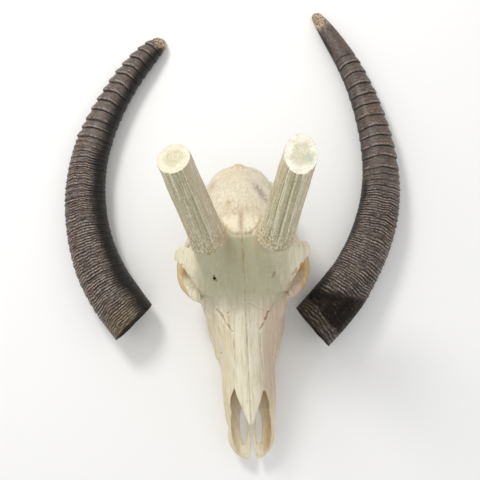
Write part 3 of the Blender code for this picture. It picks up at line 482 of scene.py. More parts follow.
def wavering(line, reach, seed, step=0.0016):
    """A line of two-number points cut short and thrown from side to side, as a suture runs."""
    points = np.array(line, float)
    lengths = np.concatenate([[0], np.cumsum(np.hypot(*np.diff(points, axis=0).T))])
    along = np.arange(0, lengths[-1], step)
    made = np.stack([np.interp(along, lengths, points[:, i]) for i in (0, 1)], 1)
    ahead = np.gradient(made, axis=0)
    ahead /= np.linalg.norm(ahead, axis=1)[:, None] + 1e-12
    throw = np.random.default_rng(seed).uniform(-reach, reach, len(made))
    throw = throw * 0.7 + 0.3 * np.roll(throw, 1)
    return made + np.stack([-ahead[:, 1], ahead[:, 0]], 1) * throw[:, None]


def line_distance(points, line):
    """Distance of each two-number point from a line of such points."""
    best = np.full(len(points), 1.0)
    for start, end in zip(line, line[1:]):
        way = end - start
        share = np.clip(((points - start) @ way) / max(way @ way, 1e-12), 0, 1)
        best = np.minimum(best, ((points - start - share[:, None] * way) ** 2).sum(1))
    return np.sqrt(best)


def near_line(places, mask, line, axes):
    """Distance from a line seen along one axis, for the vertices in a mask, and far for the others."""
    found = np.full(len(places), 1.0)
    found[mask] = line_distance(places[mask][:, axes], line)
    return found


def put(obj, name, values, kind="FLOAT"):
    made = obj.data.attributes.new(name, kind, "POINT")
    made.data.foreach_set("value" if kind == "FLOAT" else "vector", np.asarray(values, np.float32).ravel())


def smooth_rows(rows, places):
    """Rows read at other values of their first column, along a curve that never overshoots them."""
    table = np.array(rows, float)
    at, values = table[:, 0], table[:, 1:]
    step = np.diff(at)[:, None]
    slope = np.diff(values, axis=0) / step
    tangent = np.zeros_like(values)
    tangent[1:-1] = np.where(
        slope[1:] * slope[:-1] > 0,
        2 * slope[1:] * slope[:-1] / np.where(slope[1:] + slope[:-1] == 0, 1, slope[1:] + slope[:-1]),
        0,
    )
    tangent[0], tangent[-1] = slope[0], slope[-1]
    places = np.clip(places, at[0], at[-1])
    cell = np.clip(np.searchsorted(at, places, side="right") - 1, 0, len(at) - 2)
    t = ((places - at[cell]) / step[cell, 0])[:, None]
    before, after = values[cell], values[cell + 1]
    rise, fall = tangent[cell] * step[cell], tangent[cell + 1] * step[cell]
    return (
        (2 * t**3 - 3 * t**2 + 1) * before
        + (t**3 - 2 * t**2 + t) * rise
        + (3 * t**2 - 2 * t**3) * after
        + (t**3 - t**2) * fall
    )


def closed_spline(points, per_span):
    """A smooth closed curve through the points."""
    points = [Vector(p) for p in points]
    made = []
    for i in range(len(points)):
        a, b, c, d = (points[(i + k) % len(points)] for k in (-1, 0, 1, 2))
        for j in range(per_span):
            t = j / per_span
            square = (2 * a - 5 * b + 4 * c - d) * t**2
            cube = (3 * b - a - 3 * c + d) * t**3
            made.append(0.5 * (2 * b + (c - a) * t + square + cube))
    return made


def section_ring(y, values, per_span=5):
    top, x1, z1, x2, z2, x3, z3, bottom = values
    half = [(x1, y, z1), (x2, y, z2), (x3, y, z3)]
    other = [(-x, y, z) for x, y, z in reversed(half)]
    return closed_spline([(0, y, top), *half, (0, y, bottom), *other], per_span)


def loft(name, rings):
    """A closed solid through rings of equally many points, first and last filled."""
    made = bmesh.new()
    rows = [[made.verts.new(p) for p in ring] for ring in rings]
    count = len(rows[0])
    for row, after in zip(rows, rows[1:]):
        for i in range(count):
            j = (i + 1) % count
            made.faces.new((row[i], row[j], after[j], after[i]))
    made.faces.new(list(reversed(rows[0])))
    made.faces.new(rows[-1])
    bmesh.ops.recalc_face_normals(made, faces=made.faces)
    return mesh_object(name, made)


def mesh_object(name, made):
    mesh = bpy.data.meshes.new(name)
    made.to_mesh(mesh)
    made.free()
    obj = bpy.data.objects.new(name, mesh)
    obj.display_type = "WIRE"
    obj.hide_render = True
    cutters.objects.link(obj)
    return obj


def section_loft(name, rows):
    places = np.linspace(rows[0][0], rows[-1][0], SECTION_COUNTS[name])
    return loft(name, [section_ring(y, row) for y, row in zip(places, smooth_rows(rows, places))])


def ellipsoid(name, centre, radii, turn=(0, 0, 0), sides=24):
    made = bmesh.new()
    matrix = Matrix.Translation(centre) @ Euler(turn).to_matrix().to_4x4() @ Matrix.Diagonal((*radii, 1))
    bmesh.ops.create_uvsphere(made, u_segments=sides, v_segments=sides // 2, radius=1, matrix=matrix)
    return mesh_object(name, made)


def tube(name, stops, side=(1, 0, 0), sides=16, count=24):
    """A bent, tapering rod. Each stop is x, y, z, half width along side, half width across it."""
    rows = [(i, *stop) for i, stop in enumerate(stops)]
    along = smooth_rows(rows, np.linspace(0, len(stops) - 1, count))
    middles = [Vector(row[:3]) for row in along]
    rings = []
    for i, (x, y, z, wide, deep) in enumerate(along):
        heading = (middles[min(i + 1, count - 1)] - middles[max(i - 1, 0)]).normalized()
        across = Vector(side)
        across = (across - across.dot(heading) * heading).normalized()
        other = heading.cross(across)
        rings.append([
            Vector((x, y, z)) + across * wide * math.cos(a) + other * deep * math.sin(a)
            for a in np.linspace(0, math.tau, sides, endpoint=False)
        ])
    return loft(name, rings)


def prism(name, outline, axis, low, high):
    """A flat outline drawn out along the x or z axis from low to high."""
    made = bmesh.new()
    if axis == "X":
        places = [Vector((low, a, b)) for a, b in outline]
        way = Vector((high - low, 0, 0))
    else:
        places = [Vector((a, b, low)) for a, b in outline]
        way = Vector((0, 0, high - low))
    face = made.faces.new([made.verts.new(p) for p in places])
    moved = bmesh.ops.extrude_face_region(made, geom=[face])["geom"]
    bmesh.ops.translate(made, vec=way, verts=[v for v in moved if isinstance(v, bmesh.types.BMVert)])
    bmesh.ops.recalc_face_normals(made, faces=made.faces)
    return mesh_object(name, made)


def turned_over(obj):
    """The piece as its own mirror image."""
    obj.data.transform(Matrix.Scale(-1, 4, (1, 0, 0)))
    obj.data.flip_normals()
    return obj


def both_sides(make, *args, **more):
    """The piece and its mirror image."""
    piece = make(*args, **more)
    twin = piece.copy()
    twin.data = piece.data.copy()
    twin.name = piece.name + "_right"
    cutters.objects.link(turned_over(twin))
    return [piece, twin]


def join(name, pieces):
    """One object that holds the meshes of all the pieces, which are removed."""
    made = bmesh.new()
    for piece in pieces:
        made.from_mesh(piece.data)
        bpy.data.objects.remove(piece)
    return mesh_object(name, made)


def apply_modifiers(obj):
    bpy.context.view_layer.update()
    graph = bpy.context.evaluated_depsgraph_get()
    mesh = bpy.data.meshes.new_from_object(obj.evaluated_get(graph))
    obj.modifiers.clear()
    obj.data = mesh
    return obj


def remesh(obj, size):
    modifier = obj.modifiers.new("voxels", "REMESH")
    modifier.mode = "VOXEL"
    modifier.voxel_size = size
    modifier.adaptivity = 0
    return apply_modifiers(obj)


def boolean(obj, other, operation, solver="EXACT"):
    modifier = obj.modifiers.new(operation.lower(), "BOOLEAN")
    modifier.operation = operation
    modifier.object = other
    modifier.solver = solver
    return apply_modifiers(obj)


def nose_and_face():
    """The face from snout to forehead, with the nose hollowed out and its walls cut to their free edge."""
    face = section_loft("face", FACE)
    boolean(face, section_loft("nose_hollow", NOSE_HOLLOW), "DIFFERENCE")
    edge = [(y, z) for y, z in NOSE_EDGE] + [(-0.020, 0.1000)]
    boolean(face, prism("nose_edge", edge, "X", -0.08, 0.08), "DIFFERENCE")
    openings = both_sides(prism, "incisive_fissure", INCISIVE_FISSURE, "Z", -0.02, 0.05)
    for cutter in openings + [prism("front_gap", FRONT_GAP, "Z", -0.02, 0.05)]:
        boolean(face, cutter, "DIFFERENCE")
    return face


def nasal_plate(name):
    """Both nasal bones, arched from side to side, with their upper face raised a little over the roof."""
    rings = []
    places = np.linspace(NASAL_OUTLINE[0][0], NASAL_OUTLINE[-1][0], 17)
    widths = smooth_rows(NASAL_OUTLINE, places)[:, 0]
    heights = smooth_rows(ROOF, places)[:, 0]
    for y, wide, top in zip(places, widths, heights):
        across = np.linspace(-wide, wide, 11)
        upper = [(x, y, top + NASAL_LIFT - NASAL_ARCH * x * x) for x in across]
        lower = [(x, y, top - NASAL_ARCH * x * x - NASAL_DEPTH) for x in across[::-1]]
        rings.append(upper + lower)
    return loft(name, rings)


def forms(rows):
    """Pieces from rows of a maker, a name and a shape, with mirror images for those off the midline."""
    pieces = []
    for make, name, *shape in rows:
        pieces += [make(name, *shape)] if name in ON_MIDLINE else both_sides(make, name, *shape)
    return pieces


def bone_pieces():
    """Every solid form that fuses into the skull, apart from nasal bones, arches and horn cores."""
    wing = tube("frontal_wing", FRONTAL_WING, side=(0, 0.92, 0.39), sides=24, count=61)
    return [nose_and_face(), section_loft("braincase_form", BRAINCASE), wing] + forms((
        (tube, "pedicle", (
            (0.0310, 0.2560, 0.1180, 0.0260, 0.0300), (0.0345, 0.2640, 0.1400, 0.0240, 0.0285),
            (0.0398, 0.2785, 0.1690, 0.0212, 0.0255), (0.0410, 0.2820, 0.1750, 0.0210, 0.0252))),
        (tube, "postorbital_bar", (
            (0.0765, 0.2580, 0.1240, 0.0060, 0.0090), (0.0790, 0.2670, 0.1080, 0.0045, 0.0070),
            (0.0790, 0.2690, 0.0930, 0.0045, 0.0075), (0.0780, 0.2680, 0.0800, 0.0050, 0.0090))),
        (tube, "orbit_front_rim", (
            (0.0620, 0.2280, 0.1270, 0.0060, 0.0050), (0.0590, 0.2180, 0.1120, 0.0045, 0.0050),
            (0.0590, 0.2140, 0.0950, 0.0045, 0.0050), (0.0610, 0.2200, 0.0800, 0.0060, 0.0060))),
        (ellipsoid, "arch_root", (0.0480, 0.2010, 0.0720), (0.0075, 0.0180, 0.0150), (0, 0, -0.3)),
        (ellipsoid, "arch_end", (0.0480, 0.3280, 0.0850), (0.0130, 0.0140, 0.0070)),
        (ellipsoid, "cheek_tuber", (0.0392, 0.1510, 0.0400), (0.0045, 0.0180, 0.0070)),
        (tube, "nuchal_crest", (
            (0.0450, 0.3460, 0.0680, 0.0040, 0.0040), (0.0400, 0.3560, 0.0840, 0.0035, 0.0035),
            (0.0280, 0.3665, 0.0980, 0.0035, 0.0035), (0.0140, 0.3755, 0.1065, 0.0035, 0.0035),
            (0.0, 0.3800, 0.1090, 0.0040, 0.0040))),
        (ellipsoid, "nuchal_knob", (0, 0.3800, 0.1080), (0.0080, 0.0060, 0.0060)),
        (ellipsoid, "condyle", (0.0165, 0.3810, 0.0480), (0.0110, 0.0125, 0.0145), (0.5, 0, 0)),
        (ellipsoid, "mastoid", (0.0400, 0.3520, 0.0680), (0.0100, 0.0160, 0.0180)),
        (tube, "paroccipital", (
            (0.0380, 0.3600, 0.0600, 0.0070, 0.0110), (0.0385, 0.3620, 0.0400, 0.0045, 0.0080),
            (0.0370, 0.3650, 0.0220, 0.0035, 0.0060), (0.0350, 0.3680, 0.0070, 0.0032, 0.0048))),
        (ellipsoid, "bulla", (0.0260, 0.3340, 0.0420), (0.0100, 0.0170, 0.0170)),
        (tube, "ear_tube", (
            (0.0380, 0.3330, 0.0660, 0.0060, 0.0060), (0.0500, 0.3380, 0.0720, 0.0055, 0.0055))),
        (tube, "skull_base", (
            (0, 0.2850, 0.0500, 0.0110, 0.0090), (0, 0.3200, 0.0440, 0.0130, 0.0090),
            (0, 0.3550, 0.0400, 0.0150, 0.0080), (0, 0.3800, 0.0430, 0.0200, 0.0080))),
        (tube, "pterygoid", (
            (0.0130, 0.2300, 0.0330, 0.0022, 0.0110), (0.0130, 0.2480, 0.0340, 0.0020, 0.0130),
            (0.0140, 0.2640, 0.0380, 0.0020, 0.0150), (0.0150, 0.2820, 0.0450, 0.0030, 0.0140))),
        (tube, "vomer", (
            (0, 0.0860, 0.0290, 0.0014, 0.0070), (0, 0.1050, 0.0345, 0.0014, 0.0110),
            (0, 0.1500, 0.0500, 0.0020, 0.0200))),
    ))


def bone_cutters():
    """What is taken out of the fused bone: the orbits, the passages and the larger holes."""
    pieces = forms((
        (ellipsoid, "orbit", (0.0610, 0.2440, 0.1010), (0.0330, 0.0255, 0.0245), (0, -0.12, -0.42)),
        (tube, "great_hole", (
            (0, 0.410, 0.0560, 0.0125, 0.0110), (0, 0.370, 0.0620, 0.0115, 0.0105),
            (0, 0.345, 0.0700, 0.0080, 0.0080))),
        (tube, "throat_passage", (
            (0, 0.310, 0.0300, 0.0100, 0.0080), (0, 0.270, 0.0340, 0.0105, 0.0110),
            (0, 0.232, 0.0340, 0.0100, 0.0100), (0, 0.212, 0.0400, 0.0080, 0.0070))),
        (tube, "ear_hole", (
            (0.0600, 0.3420, 0.0770, 0.0034, 0.0034), (0.0400, 0.3340, 0.0670, 0.0034, 0.0034))),
        (ellipsoid, "eye_edge", (0.0840, 0.2275, 0.1210), (0.0226, 0.0470, 0.0330), (0, 0, -0.540)),
    ))
    for side, outline in NOSE_SLITS.items():
        pieces.append(prism("nose_slit", [(side * x, y) for x, y in outline], "Z", 0.050, 0.100))
    gap = ((-0.0014, -0.01), (0.0022, -0.01), (0.0022, 0.066), (-0.0014, 0.066))
    return pieces + [prism("front_gap", gap, "Z", -0.01, 0.060)]


def skull_matrix():
    turn = Matrix.Rotation(SKULL_TURN, 4, "Z") @ Matrix.Rotation(-SNOUT_UP, 4, "X")
    return Matrix.Translation(SKULL_PLACE) @ turn @ Matrix.Translation(-REST_POINT)


def core_frame(side):
    """Base, length, axis and the two directions across a horn core."""
    top = CORE_TOP[side]
    base = Vector((CORE_BASE.x * side, CORE_BASE.y, CORE_BASE.z))
    axis = (top - base).normalized()
    across = (Vector((1, 0, 0)) - axis * axis.x).normalized()
    return base, (top - base).length, axis, across, axis.cross(across)


def sheath_line(mouth, length, headings):
    """Points and headings along the middle of a sheath, at a thousandth of its length each."""
    share = np.linspace(0, 1, 1001)
    turn = np.radians(smooth_rows(headings, share)[:, 0])
    step = length / 1000
    x = mouth[0] + np.concatenate([[0], np.cumsum(np.sin(turn[:-1]) * step)])
    y = mouth[1] + np.concatenate([[0], np.cumsum(np.cos(turn[:-1]) * step)])
    return share * length, x, y, turn




def fine_cutters():
    """Small holes, which are cut in the fine bone only."""
    pieces = [tube("supraorbital_hole", ((side * 0.0367 - slant, 0.2300, 0.1500, wide, long),
                                         (side * 0.0367, 0.2365, 0.1350, wide, long),
                                         (side * 0.0367 + slant, 0.2440, 0.1180, wide, long)))
              for side, slant, wide, long in ((-1, 0.0010, 0.0019, 0.0019), (1, -0.0024, 0.0010, 0.0026))]
    return pieces + forms((
        (tube, "infraorbital_hole", (
            (0.0460, 0.1290, 0.0560, 0.0030, 0.0034), (0.0375, 0.1350, 0.0600, 0.0026, 0.0030),
            (0.0320, 0.1450, 0.0630, 0.0020, 0.0024))),
        (ellipsoid, "palate_hole", (0.0150, 0.1950, 0.0255), (0.0016, 0.0035, 0.0050)),
        (ellipsoid, "base_hole", (0.0230, 0.3120, 0.0440), (0.0026, 0.0042, 0.0080)),
        (ellipsoid, "condyle_hole", (0.0200, 0.3640, 0.0400), (0.0016, 0.0026, 0.0070)),
    ))


def blended(bone):
    """Softens the joins between the forms that the forehead is built from."""
    links = Neighbours(bone.data)
    places = numbers(bone.data).astype(float)
    x, y, z = abs(places[:, 0]), places[:, 1], places[:, 2]
    share = step_up(y, 0.188, 0.215) * step_down(y, 0.300, 0.320) * step_up(z, 0.095, 0.118)
    share *= step_down(x, 0.052, 0.066)
    share = np.maximum(share, 0.5 * step_up(y, 0.315, 0.335) * step_up(z, 0.085, 0.105))[:, None]
    move_to(bone, places + share * (links.smooth(places, BLEND_TURNS, 0.7) - places))
    return bone


def raw_bone():
    """The fused bone at a fine grain, with the nasal bones and cheek arches grown on."""
    pieces = bone_pieces() + [nasal_plate("nasals")]
    pieces += both_sides(tube, "arch", CHEEK_ARCH, side=(0.9, -0.4, 0), sides=12, count=20)
    bone = blended(remesh(join("skull_bone", pieces), FINE_VOXEL))
    for cutter in bone_cutters() + fine_cutters():
        boolean(bone, cutter, "DIFFERENCE", "MANIFOLD")
    return remesh(bone, FINE_VOXEL)


def nasal_edge(y):
    table = np.array(NASAL_OUTLINE)
    return np.interp(y, table[:, 0], table[:, 1], left=0, right=0)


def bone_sutures():
    """Sutures as the line, the two axes it is seen in, its least height and least width off the midline."""
    top, side_on = (0, 1), (1, 2)
    lines = [(wavering(((0.0, 0.046), (0.0, 0.110), (0.0, 0.203)), 0.0001, 1), top, 0.055, 0.0),
             (wavering(((0.0, 0.203), (0.0006, 0.240), (0.0, 0.2840)), 0.0007, 2), top, 0.10, 0.0)]
    for seed, side in ((10, 1), (20, -1)):
        for i, (line, reach, low) in enumerate(TOP_SUTURES):
            lines.append((wavering([(side * x, y) for x, y in line], reach, seed + i), top, low, 0.0))
    for i, (line, reach) in enumerate(SIDE_SUTURES):
        lines.append((wavering(line, reach, 40 + i), side_on, 0.018, 0.0155))
    return lines


def suture_closeness(places):
    """How near each vertex is to a suture, from 0 to 1."""
    closeness = np.zeros(len(places))
    for line, axes, low, off in bone_sutures():
        seen = places[:, axes]
        around = ((seen > line.min(0) - 0.003) & (seen < line.max(0) + 0.003)).all(1)
        around &= (places[:, 2] > low) & (abs(places[:, 0]) >= off)
        distance = near_line(places, around, line, axes)
        closeness = np.maximum(closeness, bell(distance, SUTURE_WIDTH))
    broken = 0.50 + 0.75 * fractal(places, 0.008, 151, 2)
    return closeness * np.clip(broken, 0.12, 1)


def dent(places):
    """A slanting hollow on the left of the braincase, from 0 to 1."""
    x, y = places[:, 0] - DENT[0], places[:, 1] - DENT[1]
    hollow = bell(x + DENT_SLANT * y, DENT_REACH[0]) * bell(y, DENT_REACH[1])
    return hollow * step_up(places[:, 2], 0.105, 0.120)


def slit_closeness(places):
    """How near each vertex is to the middle of a slit and to its raised rims, both from 0 to 1."""
    around = (places[:, 2] > 0.085) & (places[:, 1] > 0.16) & (places[:, 1] < 0.25)
    distance = np.min([near_line(places, around, np.array(line), (0, 1)) for line in BONE_SLITS], axis=0)
    distance = distance + 0.0010 * fractal(places, 0.0034, 161, 2)
    strength = np.clip(0.75 + 0.8 * fractal(places, 0.0055, 162, 2), 0.15, 1)
    return strength * bell(distance, 0.0008), bell(distance - 0.0026, 0.0013)


def bone_relief(places):
    """Height to add along the normal for the forms that are finer than the fused pieces."""
    x, y, z = places.T
    half = abs(x)
    mirrored = np.stack([half, y, z], 1)
    relief = bumps_at(mirrored, HILLS) - 0.0022 * dent(places)
    lobe_edge = 0.2850 + 0.0110 * (np.maximum(half - 0.0065, 0) / 0.0140) ** 2
    lobe = step_up(y - lobe_edge, -0.0006, 0.0030) * step_down(y, 0.296, 0.316)
    lobe *= step_down(half, 0.018, 0.027) * step_up(z, 0.130, 0.140)
    relief += 0.0024 * lobe * (1 - 0.75 * bell(x, 0.0026))
    edge = nasal_edge(y)
    on_nose = band(y, 0.050, 0.062, 0.192, 0.205) * step_up(z, 0.085, 0.100)
    relief += on_nose * 0.0005 * np.cos(np.clip(half / np.maximum(edge, 1e-4) - 0.5, -0.5, 0.5) * math.pi)
    fading = on_nose * (1 - 0.85 * step_up(y, 0.148, 0.176))
    relief -= fading * 0.0007 * bell(half - edge, 0.0015) * step_up(y, 0.092, 0.104)
    relief -= fading * 0.0011 * bell(half - edge - 0.006, 0.005) * step_up(y, 0.105, 0.130)
    relief -= on_nose * 0.00045 * bell(x, 0.0009)
    middle, rims = slit_closeness(places)
    relief += 0.0005 * rims - 0.0022 * middle
    row = 0.5 - 0.5 * np.cos(math.tau * (y - TOOTH_ROW_START) / TOOTH_SPACING)
    relief += 0.0008 * row * bump_at(mirrored, (0.0420, 0.1750, 0.0330), (0.0080, 0.0450, 0.0085))
    crest = bump_at(mirrored, (0.0200, 0.3720, 0.1020), (0.0300, 0.0090, 0.0140))
    return relief + 0.0012 * crest * fractal(places, 0.006, 5)


def bone_unevenness(places):
    """Uneven growth, from broad swellings down to pores."""
    rough = step_up(places[:, 1], 0.30, 0.37)
    mirrored = np.abs(places)
    rim = bump_at(mirrored, (0.0740, 0.2400, 0.1280), (0.0150, 0.0200, 0.0110))
    made = 0.00034 * fractal(places, 0.020, 11)
    made = made + (0.4 + 0.6 * step_up(places[:, 1], 0.19, 0.22)) * (
        0.00022 * fractal(places, 0.0055, 21, 2) + 0.00008 * noise(places, 0.0030, 51))
    made = made + rim * 0.00055 * fractal(places, 0.0042, 41, 2)
    return made + rough * 0.00022 * fractal(places, 0.0060, 31)


def openness(mesh_places, mesh_faces, places):
    """Share of directions in which each place of a closed mesh sees out, from 0, deep inside, to 1."""
    tree = BVHTree.FromPolygons([Vector(p) for p in mesh_places], mesh_faces)
    turn = math.pi * (3 - math.sqrt(5))
    heights = 1 - 2 * (np.arange(OPEN_DIRECTIONS) + 0.5) / OPEN_DIRECTIONS
    rays = [Vector((math.sqrt(1 - h * h) * math.cos(i * turn), math.sqrt(1 - h * h) * math.sin(i * turn), h))
            for i, h in enumerate(heights)]
    found = []
    for place, normal in places:
        facing = [ray for ray in rays if ray.dot(normal) > OPEN_LEAST]
        start = place + normal * OPEN_LIFT
        free = sum(1 for ray in facing if tree.ray_cast(start, ray, OPEN_REACH)[0] is None)
        found.append(free / len(facing))
    return np.array(found)


def bone_openness(bone):
    """Openness worked out on a coarse copy and read back at each vertex of the fine one."""
    coarse = bone.copy()
    coarse.data = bone.data.copy()
    cutters.objects.link(coarse)
    remesh(coarse, COARSE_VOXEL)
    mesh = coarse.data
    faces = [tuple(face.vertices) for face in mesh.polygons]
    spots = [(v.co.copy(), v.normal.copy()) for v in mesh.vertices]
    seen = openness([v.co for v in mesh.vertices], faces, spots)
    tree = KDTree(len(spots))
    for i, (place, _) in enumerate(spots):
        tree.insert(place, i)
    tree.balance()
    made = np.empty(len(bone.data.vertices))
    for i, vertex in enumerate(bone.data.vertices):
        near = tree.find_n(vertex.co + vertex.normal * 0.0005, OPEN_READ)
        weights = [1 / (distance + 0.0004) for _, _, distance in near]
        made[i] = sum(w * seen[index] for w, (_, index, _) in zip(weights, near)) / sum(weights)
    bpy.data.objects.remove(coarse)
    return made


def skull_bone():
    bone = raw_bone()
    links = Neighbours(bone.data)
    places = links.relax(numbers(bone.data).astype(float), RELAX_TURNS)
    move_to(bone, places)
    facing = links.smooth(normals(bone), 3)
    facing /= np.linalg.norm(facing, axis=1)[:, None]
    near_suture = suture_closeness(places)
    relief = bone_relief(places) + bone_unevenness(places) - SUTURE_DEPTH * near_suture
    places = places + facing * relief[:, None]
    move_to(bone, places)
    hollow = links.smooth(((links.mean(places) - places) * normals(bone)).sum(1) / FINE_VOXEL, 1)
    x, y, z = places.T
    plain = step_down(y, 0.186, 0.204) * step_down(abs(x), nasal_edge(y) - 0.003, nasal_edge(y) - 0.0005)
    put(bone, "hollow", hollow * (1 - 0.9 * plain * step_up(z, 0.045, 0.055) * step_up(abs(x), 0.001, 0.003)))
    put(bone, "suture", near_suture)
    above = plain * step_up(z, 0.045, 0.055) * step_up(normals(bone)[:, 2], 0.1, 0.5)
    put(bone, "open", np.maximum(links.smooth(bone_openness(bone), 4), 0.6 * above))
    tints(bone, places, np.clip(3.0 * links.smooth(near_suture, 6) - 1.5 * near_suture, 0, 1))
    return finish_piece(bone, skull_matrix(), bone_material(), [
        "braincase", "sphenoid", "forehead", "upper_jaw", "left_premaxilla", "right_premaxilla", "left_nasal",
        "right_nasal", "left_zygomatic_arch", "right_zygomatic_arch"])


def tints(bone, places, beside_suture):
    """Where the bone is pale with painted light, creamy, olive with painted shadow, pinkish with painted
    shade, mauve, rusty, aged, warm with stain and painted shade, smooth, or dark in holes with painted shade
    and along real lines and spots.
    """
    x, y, z = places.T
    half = abs(x)
    left, right = x > 0, x < 0
    mirrored = np.stack([half, y, z], 1)
    edge = nasal_edge(y)
    wander = 0.006 * fractal(places, 0.02, 131)
    ragged = 0.0015 * fractal(places, 0.004, 141, 2)
    spotty = np.clip(0.20 + 1.5 * fractal(places, 0.0036, 191, 2), 0, 0.8)

    # Broad areas: inside the eye sockets, on the nose, between the cores and inside the nose.
    inside_eye = step_up(half, 0.052, 0.060) * band(y, 0.205, 0.215, 0.272, 0.285)
    inside_eye *= step_down(z, 0.088, 0.100)
    strip = np.maximum(step_up(half - 0.35 * (y - 0.215) + ragged, 0.0695, 0.0725),
                       step_up(y + ragged, 0.240, 0.247))
    off_nose = step_up(half + 0.5 * wander, edge - 0.004, edge + 0.005)
    lobe = band(y, 0.2850, 0.2890, 0.300, 0.316) * step_down(half, 0.018, 0.026)
    inward = -np.sign(x) * normals(bone)[:, 0]
    nose_wall = step_up(inward, 0.15, 0.65) * step_down(y, 0.105, 0.130) * step_up(half, 0.005, 0.008)
    # Painted shadow of the cores on the forehead, tinted olive.
    painted_olive_shade = step_up(y + wander, 0.186, 0.226) * step_down(y + wander * 0.4, 0.2795, 0.2850)
    painted_olive_shade *= step_up(z, 0.085, 0.11) * (1 - 0.75 * step_up(-x + wander, 0.046, 0.066))
    # The painted shadow ends at a slanting edge on the animal's left of the forehead.
    painted_olive_shade *= 1 - 0.42 * step_up(x - (0.0240 + (0.272 - y) * 0.444) + 0.2 * wander, -0.001, 0.002)
    painted_olive_shade *= 1 - 0.7 * step_up(x + wander, 0.052, 0.062)
    # Pinkish tint with painted shade, darkest on the animal's left side of the snout and in its left eye
    # socket, which face away from the lamp.
    rosy_tint_and_shade = np.max([
        step_up(x + wander, 0.010, 0.026) * band(y, 0.05, 0.10, 0.19, 0.24),
        0.5 * step_up(half, 0.018, 0.026) * band(y, 0.262, 0.275, 0.288, 0.300),
        0.7 * step_down(half + ragged, 0.0020, 0.0050) * band(y, 0.290, 0.296, 0.312, 0.322),
        0.9 * left * inside_eye,
    ], 0)

    # Narrow marks: slits, nerve holes, the line along the nose and the free edge over each eye socket.
    middle, rims = slit_closeness(places)
    line = bell(x, 0.0005) * band(y, 0.044, 0.050, 0.180, 0.205) * step_up(z, 0.055, 0.065)
    around = (z > 0.100) & (y > 0.205) & (y < 0.256) & (half > 0.045)
    margin = bell(near_line(mirrored, around, np.array(EYE_MARGIN), (0, 1)), 0.0016)
    # Pale bone with painted light: the nasal bones, the bone over the eyes and the inside of the sockets are
    # painted paler on the animal's right, the side towards the lamp.
    pale_and_painted_light = np.max([
        lobe * step_up(half + ragged, 0.001, 0.005),
        np.where(right, 1.0, 0.75) * step_up(half + wander, 0.050, 0.064) * step_up(y, 0.225, 0.245)
        * step_up(z, 0.085, 0.110),
        step_down(y + wander, 0.186, 0.204) * (1 - off_nose)
        * (0.25 + 0.65 * step_up(-x + wander, -0.010, 0.002)),
        inside_eye * (1 - strip) * np.where(right, 1.0, 0.3),
        0.9 * bump_at(mirrored, (0.0372, 0.2285, 0.1310), (0.0022, 0.0030, 0.01)),
        nose_wall * np.where(left, 0.35, 0.80),
        0.75 * rims,
        0.7 * beside_suture * band(y, 0.182, 0.188, 0.212, 0.220),
    ], 0)
    # Warm brown stain, with painted shade in the outer strip of each eye socket, stronger on the animal's
    # left.
    warm_stain_and_shade = np.max([
        nose_wall * np.maximum(np.where(left, 0.80, 0.45), step_up(y, 0.072, 0.086)),
        0.25 * step_up(y + 2 * ragged, 0.374, 0.382) * step_up(z, 0.092, 0.104),
        np.where(left, 0.95, 0.72) * inside_eye * strip,
    ], 0)
    rust = 1.2 * middle + bumps_at(places, RUSTY_SPOTS) + 0.12 * inside_eye * left
    rust += 0.4 * bell(x, 0.0014) * band(y, 0.235, 0.245, 0.285, 0.290)
    rim = bump_at(mirrored, (0.0660, 0.2400, 0.1280), (0.0110, 0.0180, 0.0100))
    rust += 2.2 * rim * np.clip(0.42 - pebbles(places, 0.0042, 171), 0, 1)
    # Painted shade in the slits and nerve holes, with the real dark line along the nose and spots along the
    # eye margins.
    pit = np.max([
        0.42 * middle,
        0.7 * bump_at(mirrored, (0.0368, 0.2362, 0.1340), (0.0014, 0.0022, 0.02)),
        0.58 * line,
        0.6 * margin * spotty,
    ], 0)
    streaky = 1.05 + 1.1 * fractal(places * (1, 0.25, 1), 0.0018, 181, 2)
    marks = {
        "pale_and_painted_light": pale_and_painted_light,
        "cream": np.maximum(step_down(y + wander, 0.180, 0.205) * off_nose, inside_eye),
        "painted_olive_shade": painted_olive_shade,
        "rosy_tint_and_shade": rosy_tint_and_shade,
        "mauve": np.clip(dent(places) * streaky, 0, 1),
        "warm_stain_and_shade": warm_stain_and_shade,
        "aged": step_up(y + wander, 0.306, 0.322),
        "smooth": 1 - 0.25 * step_up(y, 0.190, 0.215) - 0.12 * step_up(y, 0.270, 0.290),
        "rust": np.clip(np.maximum(rust, margin * (0.3 + spotty)), 0, 1),
        "pit": pit,
    }
    for name, values in marks.items():
        put(bone, name, values)


def grid_mesh(name, rows):
    """A mesh through rows of points that close on themselves, with a fan over the first and last of them."""
    rows = np.asarray(rows, float)
    count, sides = rows.shape[:2]
    around = np.arange(sides)
    ahead = np.roll(around, -1)
    starts = np.arange(count - 1)[:, None] * sides
    here, after = (starts + around).ravel(), (starts + ahead).ravel()
    faces = np.stack([here, after, after + sides, here + sides], 1).tolist()
    hub, last_row = count * sides, (count - 1) * sides
    pairs = list(zip(around.tolist(), ahead.tolist()))
    faces += [(b, a, hub) for a, b in pairs] + [(last_row + a, last_row + b, hub + 1) for a, b in pairs]
    places = np.vstack([rows.reshape(-1, 3), rows[0].mean(0), rows[-1].mean(0)])
    mesh = bpy.data.meshes.new(name)
    mesh.from_pydata(places.tolist(), [], faces)
    obj = bpy.data.objects.new(name, mesh)
    cutters.objects.link(obj)
    return obj


